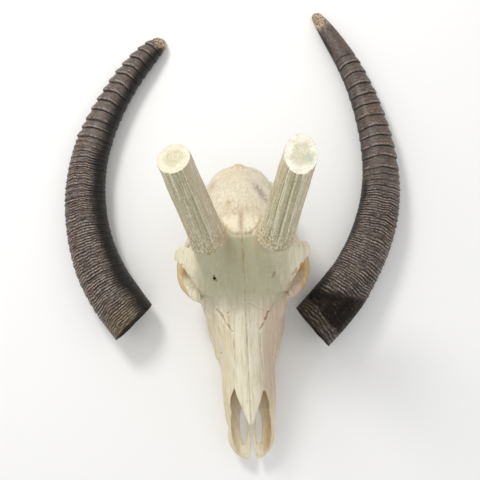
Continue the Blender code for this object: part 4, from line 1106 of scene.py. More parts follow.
def finish_piece(obj, matrix, material, stood_for):
    """Puts a piece in its place, inside the solids' own box; its material keeps its own coordinates."""
    own = numbers(obj.data).astype(float)
    put(obj, "local", own, "FLOAT_VECTOR")
    matrix = np.array(matrix)
    low, high = np.array(cad_box[0]) + BOX_MARGIN, np.array(cad_box[1]) - BOX_MARGIN
    move_to(obj, np.clip(own @ matrix[:3, :3].T + matrix[:3, 3], low, high))
    obj.data.materials.clear()
    obj.data.materials.append(material)
    obj.data.polygons.foreach_set("use_smooth", np.ones(len(obj.data.polygons), bool))
    dressed.objects.link(obj)
    cutters.objects.unlink(obj)
    obj.display_type = "TEXTURED"
    obj.hide_render = False
    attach(obj, "root")
    if stood_for:
        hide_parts(*stood_for)
    return obj


def tooth_outline(angle, long, wide, side, columns):
    """Distance from the middle of a cheek tooth: ribbed on the cheek side, lobed towards the palate."""
    box = abs(np.cos(angle) / long) ** TOOTH_CORNERS + abs(np.sin(angle) / wide) ** TOOTH_CORNERS
    box = box ** (-1 / TOOTH_CORNERS)
    cheek = step_up(side * np.sin(angle), -0.2, 0.5)
    ribs = 0.0009 * np.cos(2 * columns * math.tau * np.cos(angle) / 2) * cheek
    lobes = 0.0014 * (abs(np.sin(columns * math.pi * (np.cos(angle) + 1) / 2)) - 1) * (1 - cheek)
    return box + ribs + lobes


def cheek_teeth():
    """Upper cheek teeth with the crescents that wear leaves on their grinding faces."""
    made = []
    angle = np.linspace(0, math.tau, TOOTH_SIDES, endpoint=False)
    for side in (1, -1):
        start = TOOTH_ROW_START
        for long, wide, offset in TEETH:
            columns = 1 if long < MOLAR_LENGTH else 2
            middle = np.array([side * offset, start + long / 2, 0])
            start += long
            reach = tooth_outline(angle, long * 0.515, wide * 0.48, side, columns)
            rows = []
            for level in np.concatenate([np.linspace(0.034, 0.0035, 14), [0.0018, 0.0007]]):
                swell = 1 + 0.05 * math.sin(math.pi * min(level / 0.016, 1)) - 0.05 * (level < 0.001)
                lean = side * 0.0012 * min(level / 0.012, 1)
                ripple = 0.00012 * np.sin(level * 5200 + 3 * np.cos(angle))
                x, y = lean + (reach * swell + ripple) * np.sin(angle), reach * swell * np.cos(angle)
                rows.append(np.stack([x, y, np.full(TOOTH_SIDES, level)], 1) + middle)
            for share in np.linspace(0.97, 0.06, 16):
                x, y = share * reach * np.sin(angle), share * reach * np.cos(angle)
                along = np.clip(y / long * columns + columns / 2, 0, columns - 1e-6) % 1
                crescent = abs(side * x / wide - 0.05 - 0.16 * np.cos(math.tau * (along - 0.5)))
                rim = math.exp(-(((1 - share) / 0.09) ** 2))
                enamel = np.maximum(bell(crescent, 0.045), rim)
                dip = 0.0013 * (1 - enamel) * min(1, (1 - share) * 9)
                rows.append(np.stack([x, y, 0.0003 + dip], 1) + middle)
            made.append(grid_mesh("tooth", rows))
    teeth_piece = join("cheek_teeth", made)
    teeth_piece.data.name = "cheek_teeth"
    return finish_piece(teeth_piece, skull_matrix(), tooth_material(), [])


def core_side(angle, along, side):
    """The side of a core: its height over the plain form, how deep its grooves are, how granular it is, and
    whether it is still the smooth bone below the burr."""
    turned = angle + 0.9 * along * side
    spots = np.stack([np.cos(turned), np.sin(turned), along / 0.075], -1).reshape(-1, 3)
    shape = angle.shape
    front = step_up(-np.sin(angle), -0.3, 0.9)
    outward = 0.5 + 0.5 * side * np.cos(angle)
    lifted = along - BURR_LIFT * front * (0.55 + 0.45 * outward)
    below = step_down(lifted, -0.0020, 0.0004)
    lifted = np.maximum(lifted, 0)
    coarse = fractal(spots * (7.0, 7.0, 0.9), 1.2, 50 + side, 2).reshape(shape)
    fine = fractal(spots * (17.0, 17.0, 1.8), 1.0, 60 + side, 2).reshape(shape)
    thin = fractal(spots * (46.0, 46.0, 5.0), 1.0, 65 + side, 2).reshape(shape)
    fluted = 0.30 - 1.3 * abs(coarse)
    deep = np.zeros(shape)
    down = along.ravel()
    for place, strength in DEEP_GROOVES[side]:
        wander = 0.05 * noise(np.stack([down / 0.05, 0 * down + place, 0 * down], 1), 1.0, 5)
        across = np.angle(np.exp(1j * (turned - place + wander.reshape(shape)))) * 0.021
        deep += strength * bell(across, 0.0008)
        deep -= 0.70 * strength * bell(across - 0.0019, 0.0009)
    fade = step_up(lifted, 0.008, 0.034)
    height = fade * (0.00020 * fluted - 0.00045 * deep)
    height = height + (0.4 + 0.6 * fade) * (0.00024 * fine + 0.00022 * thin)
    cells = np.stack([np.cos(angle) * 0.021, np.sin(angle) * 0.025, along * 0.8], -1).reshape(-1, 3)
    knobs = 0.62 - pebbles(cells, 0.0026, 70 + side).reshape(shape)
    small = 0.62 - pebbles(cells, 0.0013, 90 + side).reshape(shape)
    uneven = 0.5 + 0.5 * noise(cells, 0.009, 80 + side).reshape(shape)
    reach = 0.024 + 0.034 * front * (0.4 + 0.6 * outward)
    granular = step_down(lifted - 0.010 * uneven, reach * 0.05, reach) * (1 - below)
    height = height * (1 - below) - 0.0012 * below + granular * (0.0012 * knobs + 0.0008 * small)
    burr = np.maximum(0, 1 - lifted / (0.006 + 0.006 * uneven)) * (1 - below)
    height = height + 0.0017 * np.sqrt(burr) * (0.45 + 0.7 * uneven) * (0.55 + 0.45 * outward)
    height = height + 0.0020 * (1 - outward) * np.exp(-along / 0.010)
    height = height + 0.0008 * fractal(cells, 0.020, 95 + side).reshape(shape)
    hollow = np.clip(0.42 - fluted * 0.22 - fine * 0.30 - thin * 0.60 + 0.55 * deep, 0, 1)
    hollow = hollow * (0.45 + 0.55 * fade) * (1 - below)
    hollow = hollow + granular * np.clip(0.50 - 1.8 * knobs - 1.3 * small, -0.4, 1)
    return height, np.clip(hollow, 0, 1), granular, below


def sawn_rows(outer, side, length, slope):
    """Rows of a core's sawn top from the edge inwards, and how deep in a pore and how spongy each is."""
    rows, pores_of_rows, spongy_of_rows = [], [], []
    for inward in np.linspace(0.985, 0.02, SAWN_ROWS):
        x, y = outer * inward
        spots = np.stack([x, y, 0 * x], 1)
        spongy = step_down(inward + 0.12 * noise(spots, 0.006, 7 + side), 0.45, 0.72)
        pores = np.clip(0.42 - pebbles(spots, 0.00125, 17 + side), 0, 1) / 0.42
        saw = 0.00007 * np.sin((x * 0.8 + y * 0.6) * 2600)
        dip = 0.0009 * pores * spongy + 0.00018 * np.clip(0.3 - pebbles(spots, 0.0011, 27 + side), 0, 1)
        dip = dip + 0.0002 * spongy + 0.00012 * fractal(spots, 0.008, 3)
        rows.append(np.stack([x, y, length - slope[0] * x - slope[1] * y - dip + saw], 1))
        pores_of_rows.append(pores * spongy)
        spongy_of_rows.append(spongy)
    return rows, np.array(pores_of_rows), np.array(spongy_of_rows)


def horn_core(side):
    """One horn core: flutes and a knobbly burr around it, and a sawn face with a spongy middle on top."""
    word = "left" if side > 0 else "right"
    base, length, axis, across, deep = core_frame(side)
    normal = CORE_CUT[side].normalized()
    slope = [normal.dot(way) / normal.dot(axis) for way in (across, deep)]
    sides, count = CORE_GRID
    angle = np.linspace(0, math.tau, sides, endpoint=False)
    share = np.linspace(0, 1, count)[:, None]
    widths = smooth_rows(CORE_HALF_WIDTHS, share[:, 0])
    _, wide_end, deep_end = CORE_HALF_WIDTHS[-1]
    plain_end = length - slope[0] * wide_end * np.cos(angle) - slope[1] * deep_end * np.sin(angle)
    along = -CORE_SINK + share * (plain_end[None, :] + CORE_SINK)
    round_about = np.broadcast_to(angle, along.shape)
    height, hollow, granular, below = core_side(round_about, np.maximum(along, 0), side)
    from_end = plain_end[None, :] - along
    rim = np.exp(-(from_end / 0.0016))
    edge = np.stack([np.cos(angle), np.sin(angle), 0 * angle], 1)
    chipped = np.maximum(0, noise(edge * 5, 1.0, 33 + side) - 0.15)
    height = height * (1 - 0.55 * rim) - 0.0003 * rim
    height = height - 0.0011 * chipped[None, :] * np.exp(-(from_end / 0.0022))
    x = (widths[:, :1] + height) * np.cos(angle)
    y = (widths[:, 1:] + height) * np.sin(angle)
    along[-1] = length - slope[0] * x[-1] - slope[1] * y[-1]
    sawn, pores, spongy = sawn_rows(np.stack([x[-1], y[-1]]), side, length, slope)
    core = grid_mesh(word + "_core", list(np.stack([x, y, along], -1)) + sawn)
    inner = 0.5 - 0.5 * side * np.cos(round_about)
    flush = inner * np.exp(-np.maximum(along, 0) / 0.012) + 0.55 * step_up(np.cos(round_about), 0.2, 0.9)
    plain_side, plain_top = np.zeros(along.shape), np.zeros(pores.shape)
    for name, parts in (("hollow", (hollow, pores)), ("grain", (granular, plain_top)),
                        ("below", (below, plain_top)), ("flush", (np.clip(flush, 0, 1), plain_top)),
                        ("cap", (plain_side, plain_top + 1)), ("middle", (plain_side, spongy))):
        flat = np.concatenate([part.ravel() for part in parts])
        put(core, name, np.concatenate([flat, [0, flat[-1]]]))
    spots = numbers(core.data).astype(float)
    turned = np.arctan2(spots[:, 1], spots[:, 0])
    # The front of each core, which faces away from the lamp, gets an olive painted shade.
    put(core, "painted_olive_shade", step_up(np.cos(turned - FRONT_OF_CORE[side]), 0.1, 0.75))
    stain_x, stain_y, reach, strength = CAP_STAIN[side]
    off_stain = np.hypot(spots[:, 0] - stain_x, spots[:, 1] - stain_y)
    put(core, "stain", bell(off_stain, reach) * strength)
    matrix = Matrix((across, deep, axis)).transposed().to_4x4()
    matrix = skull_matrix() @ Matrix.Translation(base) @ matrix
    return finish_piece(core, matrix, core_material(word), [word + "_horn_core"])


def ledges(zones, seed):
    """Places along a sheath where one ring ends and the next begins, each with its height."""
    chance = np.random.default_rng(seed)
    made = []
    for start, end, spacing, height in zones:
        steps = max(1, round((end - start) / spacing))
        sizes = 1 + 0.16 * chance.uniform(-1, 1, steps)
        stops = start + np.concatenate([[0], np.cumsum(sizes)[:-1]]) / sizes.sum() * (end - start)
        made += [(stop, height * chance.uniform(0.75, 1.2)) for stop in stops]
    made.append((zones[-1][1], 0.0))
    return np.array(made)


def ring_share(at, stops):
    """The ring that each place is in: its height, its width, how far through the place is, its number."""
    cell = np.clip(np.searchsorted(stops[:, 0], at, side="right") - 1, 0, len(stops) - 2)
    start, end = stops[cell, 0], stops[cell + 1, 0]
    width = np.maximum(end - start, 1e-5)
    height = stops[cell, 1] * (at >= stops[0, 0]) * (at <= stops[-1, 0])
    return height, width, np.clip((at - start) / width, 0, 1), cell


def ledge_profile(at, stops):
    """Height of ledged rings, steep on the side of the mouth with a long slope towards the tip and a groove
    between. Also how deep in a groove and how near a crest each place is."""
    height, width, share, _ = ring_share(at, stops)
    body = step_up(share, 0, RING_LIP) * step_down(share, RING_LIP * 0.9, 1.0)
    groove = bell(np.minimum(share, 1 - share) * width, 0.0009)
    crest = bell((share - RING_LIP) * width, 0.0010)
    return height * (body - 0.38 - 0.25 * groove), groove * (height > 0), crest * (height > 0)


def wrinkle_profile(at, stops):
    """Height of fine wrinkles, round with sharp valleys, the same from 0 to 1, and the wrinkle's number."""
    height, _, share, cell = ring_share(at, stops)
    wave = np.where(height > 0, np.sin(np.pi * share) ** 1.2, 0.55)
    return height * (wave - 0.55), wave, cell


def sheath_hollow(length, half_widths):
    """The hollow from the mouth to its point, by rows: how far in, half width and height over the floor."""
    deep = np.linspace(0, 1, HOLLOW_ROWS)[:, None]
    hollow_at = HOLLOW_SHARE * length * deep
    here = smooth_rows(half_widths, (hollow_at / length)[:, 0])
    room = (half_widths[0][1] - SHEATH_WALL) * np.sqrt(1 - HOLLOW_END * deep**HOLLOW_BEND)
    room = np.minimum(room, here - SHEATH_WALL) + 0.0022 * np.exp(-hollow_at / 0.006)
    return hollow_at, room, SHEATH_FLATNESS * here


def horn_sheath(word):
    """One horn sheath: ledged rings above, fine broken wrinkles below, a hollow and a ragged mouth."""
    side, seed = (1, 200) if word == "left" else (-1, 300)
    form = SHEATHS[word]
    length, rings = form["length"], form["rings"]
    line, xs, ys, turns = sheath_line(form["mouth"], length, form["headings"])
    sides, count = SHEATH_GRID
    shape = (count, sides)
    tip_rows = length - TIP_SPAN + TIP_SPAN * np.sin(np.linspace(0, math.pi / 2, TIP_ROWS + 1)[1:])
    at = np.concatenate([np.linspace(0, length - TIP_SPAN, count - TIP_ROWS), tip_rows])
    angle = np.linspace(0, math.tau, sides, endpoint=False)
    rounding = np.clip((at - length + form["tip_round"]) / form["tip_round"], 0, 1) ** 2.4
    half = smooth_rows(form["half_widths"], at / length)[:, 0] * np.sqrt(np.clip(1 - rounding, 0.0004, 1))
    s, a = np.broadcast_to(at[:, None], shape), np.broadcast_to(angle, shape)
    flat = np.stack([np.cos(a) * half[:, None], np.sin(a) * half[:, None], s], -1).reshape(-1, 3)

    def field(size, number, layers=2):
        return fractal(flat, size, seed + number, layers).reshape(shape)

    # Rings, with a wavering course and more height on the outer side.
    facing = side * np.cos(a)
    upper = step_up(s, rings[0][0] - 0.01, rings[0][0] + 0.02)
    bowed = s - 0.0030 * np.maximum(np.sin(a), 0) ** 2 + 0.0016 * facing
    ring_at = bowed + (0.0010 + 0.0006 * upper) * field((0.018, 0.018, 0.05), 0)
    stops = ledges(rings, seed + 1)
    heights, grooves, crests = ledge_profile(ring_at, stops)
    ring_heights, _, share, _ = ring_share(ring_at, stops)
    # The middle of each upper ring, which carries a painted sheen.
    bodies = bell(share - 0.5, 0.22) * upper * (ring_heights > 0)
    heights = heights * (0.68 + 0.32 * facing) * (0.85 + 0.3 * field(0.03, 2))

    # Fine wrinkles, broken into patches and weaker in the smooth band.
    fine_at = bowed + 0.0030 * field((0.013, 0.013, 0.04), 3) + 0.0008 * field((0.005, 0.005, 0.02), 4)
    fine_height, wave, cell = wrinkle_profile(fine_at, ledges(form["wrinkles"], seed + 5))
    each = np.stack([cell.ravel() * 3.7, 1.7 * np.cos(a).ravel(), 1.7 * np.sin(a).ravel()], 1)
    patchy = 0.66 + 0.45 * field((0.012, 0.012, 0.018), 6) + 0.70 * noise(each, 1.0, seed + 15).reshape(shape)
    patchy = np.clip(patchy + 0.55 * field((0.0026, 0.0026, 0.0045), 18), 0.10, 1.35)
    low, high, slant = form["smooth"]
    edge = 0.005 * field((0.02, 0.02, 0.02), 7)
    smooth_band = step_up(s + edge, low, low + 0.004)
    smooth_band *= step_down(s + edge - slant * facing, high - 0.013, high)
    patchy = patchy * (1 - 0.66 * smooth_band)

    # The tan, pitted tip, and all the relief together.
    tan = step_down(length - s + 0.006 * field(0.006, 8), form["tan"] * 0.7, form["tan"] * 1.25)
    pits = tan * np.clip(0.46 - pebbles(flat, 0.0034, seed + 9).reshape(shape), 0, 1)
    rough = 0.00013 * field((0.0016, 0.0016, 0.008), 10)
    relief = heights + fine_height * patchy + rough - 0.0030 * pits + 0.0005 * field(0.045, 11)
    relief = relief * step_up(length - s, 0.0, 0.006)

    # The mouth, ragged and notched, drawn along by amounts that die out over a reach.
    round_mouth = np.stack([np.cos(angle), np.sin(angle), 0 * angle], 1) * half[0]
    ragged = MOUTH_RAGGED * fractal(round_mouth, 0.013, seed + 12)
    notch = sum(depth * np.exp(-((np.angle(np.exp(1j * (angle - place)))) / reach) ** 2)
                for place, depth, reach in form["notches"])
    drawn = np.maximum(ragged + notch, -0.0005) + 0.0006
    s = s + drawn[None, :] * np.clip(1 - at[:, None] / DRAWN_REACH, 0, 1)

    def lay(distance, radius, extra, level):
        x, y, turn = (np.interp(distance, line, row) for row in (xs, ys, turns))
        slanted = -side * MOUTH_SLANT * np.maximum(0, 1 - distance / SLANT_REACH)
        grown = radius + extra
        return np.stack([
            x + np.cos(turn) * grown * np.cos(a[:1]) + np.sin(turn) * slanted * np.cos(a[:1]),
            y - np.sin(turn) * grown * np.cos(a[:1]) + np.cos(turn) * slanted * np.cos(a[:1]),
            level + SHEATH_FLATNESS * grown * np.sin(a[:1])], -1)

    outside = lay(s, half[:, None], relief, SHEATH_FLATNESS * half[:, None] + 0.0002)
    hollow_at, room, level = sheath_hollow(length, form["half_widths"])
    hollow_drawn = hollow_at + drawn[None, :] * np.clip(1 - hollow_at / DRAWN_REACH, 0, 1)
    inner = lay(hollow_drawn, room, 0.0002 * np.cos(9 * a[:1]), level)
    horn = grid_mesh(word + "_sheath", np.concatenate([inner[::-1], outside]))

    glints = np.clip(0.65 + 0.9 * field((0.006, 0.006, 0.02), 16), 0, 1.1)
    coarse = step_up(s, rings[2][0] - 0.06, rings[2][0] + 0.01)
    # Painted light on the relief: broken highlights on ring crests and a sheen on ring bodies, stronger on
    # the outer side, with painted shade in grooves and wrinkle valleys.
    painted_relief_shading = 0.45 + ((0.55 + 0.35 * coarse) * crests * glints - 0.60 * grooves) * np.clip(
        ring_heights * 1100 - 0.75, 0.12, 1)
    painted_relief_shading = painted_relief_shading + 0.20 * bodies * (0.5 + 0.5 * facing) * np.clip(0.6 + field(0.012, 19), 0, 1.2)
    painted_relief_shading = painted_relief_shading + 0.10 * (1 - coarse) * field((0.02, 0.02, 0.011), 21)
    painted_relief_shading = painted_relief_shading + (wave - 0.55) * 1.30 * np.clip(patchy * (1.15 - 0.80 * coarse), 0, 1.1)
    worn = np.clip(0.92 + 0.35 * field((0.004, 0.004, 0.03), 20), 0, 1)
    rusty = np.clip(facing * 0.5 + 0.35 + 0.8 * field((0.016, 0.016, 0.03), 14), 0, 1)
    marks = {
        "painted_relief_shading": np.clip(painted_relief_shading, 0, 1),
        "shade": step_up(-facing + 0.25 * field(0.03, 17), *form["shade"]) * (1 - 0.6 * tan),
        "tan": np.clip(tan, 0, 1),
        "pits": np.clip(pits * 4, 0, 1),
        "dark": np.maximum(smooth_band * form["dark"] * worn, step_down(s, 0.0006, 0.0026)),
        "rim": step_down(s + 0.005 * field(0.012, 13), form["rim"] * 0.6, form["rim"] * 1.3),
        "rust": rusty * (1 - 0.5 * tan),
        "upper": step_up(s, rings[0][0], rings[0][0] + 0.06),
        "coarse": coarse,
        "inside": np.zeros(shape),
    }
    for name, values in marks.items():
        within, values = float(name == "inside"), values.ravel()
        put(horn, name, np.concatenate([np.full(HOLLOW_ROWS * sides, within), values, [within, values[-1]]]))
    flow = np.stack([s, a * FLOW_WIDTH, 0 * s], -1).reshape(-1, 3)
    hollow_shape = (HOLLOW_ROWS, sides)
    inside_flow = np.stack([np.broadcast_to(hollow_at, hollow_shape),
                            np.broadcast_to(angle * FLOW_WIDTH, hollow_shape), np.ones(hollow_shape)], -1)
    put(horn, "flow", np.concatenate([inside_flow[::-1].reshape(-1, 3), flow, [[0.3, 0, 1], [length, 0, 0]]]),
        "FLOAT_VECTOR")
    return finish_piece(horn, Matrix.Identity(4), horn_material(word), [word + "_horn_sheath"])


def tone(red, green, blue):
    """A colour given as it looks on a screen, as linear values."""
    def linear(value):
        value /= 255
        return value / 12.92 if value <= 0.04045 else ((value + 0.055) / 1.055) ** 2.4
    return (linear(red), linear(green), linear(blue), 1.0)


class Shader:
    """A material and short ways to add nodes to it. A word fed to a node means the attribute of that name."""

    def __init__(self, name, **surface):
        self.material = bpy.data.materials.new(name)
        self.material.use_nodes = True
        self.tree = self.material.node_tree
        self.surface = self.tree.nodes["Principled BSDF"]
        for key, value in surface.items():
            self.surface.inputs[key.replace("_", " ")].default_value = value
        self.place = self.attribute("local", "Vector")

    def node(self, kind, settings, feeds, out=0):
        made = self.tree.nodes.new("ShaderNode" + kind)
        for key, value in settings.items():
            setattr(made, key, value)
        for key, value in feeds.items():
            self.feed(made.inputs[key], value)
        return made.outputs[out]

    def feed(self, socket, value):
        if isinstance(value, str):
            value = self.attribute(value)
        if isinstance(value, bpy.types.NodeSocket):
            self.tree.links.new(value, socket)
        else:
            socket.default_value = value

    def attribute(self, name, out="Fac"):
        return self.node("Attribute", {"attribute_name": name}, {}, out)

    def vectors(self, operation, first, second):
        return self.node("VectorMath", {"operation": operation}, {0: first, 1: second})

    def noise(self, scale, detail=3.0, rough=0.55, place=None, out=0):
        """Noise at a scale that may differ by axis."""
        place = self.place if place is None else place
        if isinstance(scale, tuple):
            place, scale = self.vectors("MULTIPLY", place, scale), 1.0
        feeds = {"Vector": place, "Scale": scale, "Detail": detail, "Roughness": rough}
        return self.node("TexNoise", {}, feeds, out)

    def cells(self, scale):
        return self.node("TexVoronoi", {}, {"Vector": self.place, "Scale": scale}, "Distance")

    def ramp(self, value, low, high, end=1.0, start=0.0):
        """From start, where the value is at low, to end, where it is at high."""
        return self.node("MapRange", {"interpolation_type": "SMOOTHSTEP"}, {
            "Value": value, "From Min": low, "From Max": high, "To Min": start, "To Max": end})

    def times(self, first, second):
        return self.node("Math", {"operation": "MULTIPLY"}, {0: first, 1: second})

    def plus(self, first, second):
        return self.node("Math", {"operation": "ADD"}, {0: first, 1: second})

    def mix(self, share, under, over):
        made = self.tree.nodes.new("ShaderNodeMix")
        made.data_type = "RGBA"
        sockets = {socket.identifier: socket for socket in [*made.inputs, *made.outputs]}
        for name, value in (("Factor_Float", share), ("A_Color", under), ("B_Color", over)):
            self.feed(sockets[name], value)
        return sockets["Result_Color"]

    def paint(self, colour, *layers):
        """Lays tones over a colour one by one, each with its share and how red, green and blue it looks."""
        for share, *over in layers:
            colour = self.mix(share, colour, tone(*over))
        return colour

    def bumps(self, *layers):
        """Bump nodes one on another, each from a height, a strength and a distance."""
        normal = None
        for height, strength, distance in layers:
            feeds = {"Height": height, "Strength": strength, "Distance": distance}
            if normal is not None:
                feeds["Normal"] = normal
            normal = self.node("Bump", {}, feeds)
        self.feed(self.surface.inputs["Normal"], normal)

    def done(self, colour, roughness):
        self.feed(self.surface.inputs["Base Color"], colour)
        self.feed(self.surface.inputs["Roughness"], roughness)
        return self.material


def bone_cracks(shader, mottle):
    """Thin lines between cells with bent sides, broken by the mottling."""
    bend = shader.vectors("MULTIPLY", shader.noise(160.0, 2.0, 0.5, out="Color"), (CRACK_BEND,) * 3)
    cracks = shader.node("TexVoronoi", {"feature": "DISTANCE_TO_EDGE"}, {
        "Vector": shader.vectors("ADD", shader.place, bend), "Scale": 62.0}, "Distance")
    return shader.times(shader.ramp(cracks, 0.030, 0.0), shader.ramp(mottle, 0.44, 0.60))


def bone_material():
    shader = Shader("dry_bone", IOR=1.5, Specular_IOR_Level=0.28)
    ramp, times, noise = shader.ramp, shader.times, shader.noise
    broad, mottle, blotch = noise(21.0, 2.0), noise(95.0, 4.0, 0.6), noise((38.0, 30.0, 38.0))
    patches, grit, specks = noise(330.0), noise(520.0), noise(900.0, 2.0)
    along_nose = shader.node("Mapping", {}, {"Vector": shader.place, "Rotation": (-NOSE_SLOPE, 0.0, 0.0)})
    fibres, grain = (noise((across, along, across), place=along_nose)
                     for across, along in ((760.0, 50.0), (300.0, 16.0)))
    # Fewer bright flecks where the bone is smooth and where the painted shadow lies.
    smooth, out_of_painted_shade = (ramp(name, 0.0, high, 0.22, 1.0) for name, high in (("smooth", 1.0), ("painted_olive_shade", 0.9)))
    colour = shader.paint(
        tone(223, 215, 195),
        (ramp(broad, 0.38, 0.66), 214, 203, 178),
        (times(shader.plus(smooth, 0.25), ramp(mottle, 0.46, 0.74, 0.60)), 205, 192, 162),
        (times("aged", ramp(blotch, 0.44, 0.60, 0.75)), 217, 207, 187),
        (times("aged", times(bone_cracks(shader, mottle), 0.42)), 172, 144, 112),
        (ramp(blotch, 0.60, 0.78, 0.25), 202, 178, 140),
        (times("cream", 0.70), 230, 217, 184),
        # Pale bone with painted light on the side towards the lamp.
        (times("pale_and_painted_light", 0.80), 247, 240, 214),
        (ramp("hollow", 0.02, 0.22, 0.60), 172, 150, 108),
        (times(out_of_painted_shade, ramp("hollow", -0.05, -0.28, 0.35)), 244, 239, 222),
        # Pinkish tint with painted shade.
        (times("rosy_tint_and_shade", 0.80), 206, 184, 163),
        (times("mauve", 0.85), 150, 134, 128),
        # Painted shadow of the cores on the forehead, olive.
        (times("painted_olive_shade", 0.90), 182, 179, 149),
        # Warm brown stain with painted shade in the eye sockets.
        (times("warm_stain_and_shade", 0.85), 204, 162, 98),
        (ramp(grain, 0.48, 0.70, 0.40), 180, 162, 124),
        (times(out_of_painted_shade, ramp(grain, 0.46, 0.30, 0.30)), 250, 243, 220),
        (ramp(fibres, 0.50, 0.78, 0.36), 172, 154, 116),
        (times(smooth, ramp(patches, 0.52, 0.76, 0.34)), 168, 150, 114),
        (times(smooth, times(out_of_painted_shade, ramp(patches, 0.47, 0.28, 0.18))), 247, 241, 223),
        (times(smooth, ramp(grit, 0.54, 0.76, 0.40)), 152, 134, 100),
        (times(smooth, ramp(grit, 0.45, 0.26, 0.24)), 250, 246, 232),
        (times("rust", ramp(mottle, 0.35, 0.62)), 184, 140, 94),
        (ramp("open", 0.42, 0.16, 0.85), 180, 132, 66),
        (ramp("open", 0.22, 0.05, 0.85), 104, 70, 34),
        (times(smooth, ramp(specks, 0.62, 0.78, 0.40)), 166, 146, 110),
        (ramp("suture", 0.10, 0.90, 0.62), 146, 120, 82),
        # Painted shade in holes and slits, with real dark lines and spots.
        ("pit", 60, 42, 27))
    shader.bumps((grain, 0.35, 0.00040), (fibres, 0.45, 0.00030), (grit, 0.40, 0.00030),
                 (specks, 0.35, 0.00022), (shader.cells(620.0), 0.25, 0.0002))
    return shader.done(colour, shader.plus(ramp(mottle, 0.3, 0.7, 0.68, 0.50), ramp(specks, 0.5, 0.8, 0.12)))


def tooth_material():
    shader = Shader("worn_enamel", IOR=1.6, Specular_IOR_Level=0.5)
    ramp = shader.ramp
    mottle, lines = shader.noise(260.0, 4.0), shader.noise((120.0, 120.0, 1400.0), 2.0)
    root = ramp(shader.node("SeparateXYZ", {}, {"Vector": shader.place}, 2), 0.014, 0.030)
    colour = shader.paint(
        tone(224, 212, 178),
        (ramp(mottle, 0.35, 0.7), 186, 164, 116),
        (ramp(lines, 0.55, 0.75, 0.55), 120, 92, 56),
        (shader.times(root, 0.7), 196, 172, 122))
    shader.bumps((lines, 0.4, 0.0002), (mottle, 0.3, 0.0002))
    return shader.done(colour, ramp(mottle, 0.3, 0.7, 0.48, 0.26))


def core_material(word):
    shader = Shader(word + "_core_bone", IOR=1.5, Specular_IOR_Level=0.25)
    ramp, times, noise = shader.ramp, shader.times, shader.noise
    left = word == "left"
    broad, mottle = noise(30.0, 2.0), noise(110.0, 4.0, 0.6)
    flutes, bands = noise((900.0, 900.0, 38.0), 4.0, 0.6), noise((330.0, 330.0, 14.0), 3.0, 0.6)
    grit, specks = noise(420.0), noise(1100.0, 2.0)
    side = shader.paint(
        tone(212, 205, 178),
        (ramp(broad, 0.35, 0.68), 202, 190, 162),
        (ramp(bands, 0.48, 0.70, 0.60), 176, 164, 128),
        (ramp(flutes, 0.46, 0.72, 0.60), 172, 160, 124),
        # Olive painted shade on the front of the core.
        (times("painted_olive_shade", 0.65), 184, 177, 142),
        (ramp("hollow", 0.42, 0.95, 0.60), 140, 126, 86),
        (ramp("hollow", 0.36, 0.08, 0.75), 236, 230, 210),
        (times("flush", 0.55), 214, 194, 174),
        (ramp(times("grain", mottle), 0.36, 0.70, 0.55), 176, 154, 108),
        (ramp(grit, 0.54, 0.74, 0.50), 146, 130, 96),
        (ramp(grit, 0.46, 0.28, 0.45), 244, 239, 222),
        (times("below", 0.80), 184, 180, 152))
    face = shader.paint(
        tone(246, 242, 226) if left else tone(230, 224, 202),
        (ramp(mottle, 0.38, 0.70, 0.6), 216, 208, 182),
        (times("middle", ramp(specks, 0.35, 0.65, 0.80, 0.25)), 206, 199, 172),
        (times("hollow", 0.65), 166, 144, 98),
        (times("stain", ramp(mottle, 0.34, 0.58)), *((190, 202, 184) if left else (160, 118, 68))),
        (ramp(grit, 0.52, 0.74, 0.50), 190, 177, 146))
    shader.bumps((flutes, ramp("cap", 0.0, 1.0, 0.05, 0.80), 0.0006), (grit, 0.7, 0.0005),
                 (specks, 0.4, 0.00025), (shader.cells(700.0), 0.3, 0.0002))
    return shader.done(shader.mix("cap", side, face), ramp(mottle, 0.3, 0.7, 0.78, 0.60))


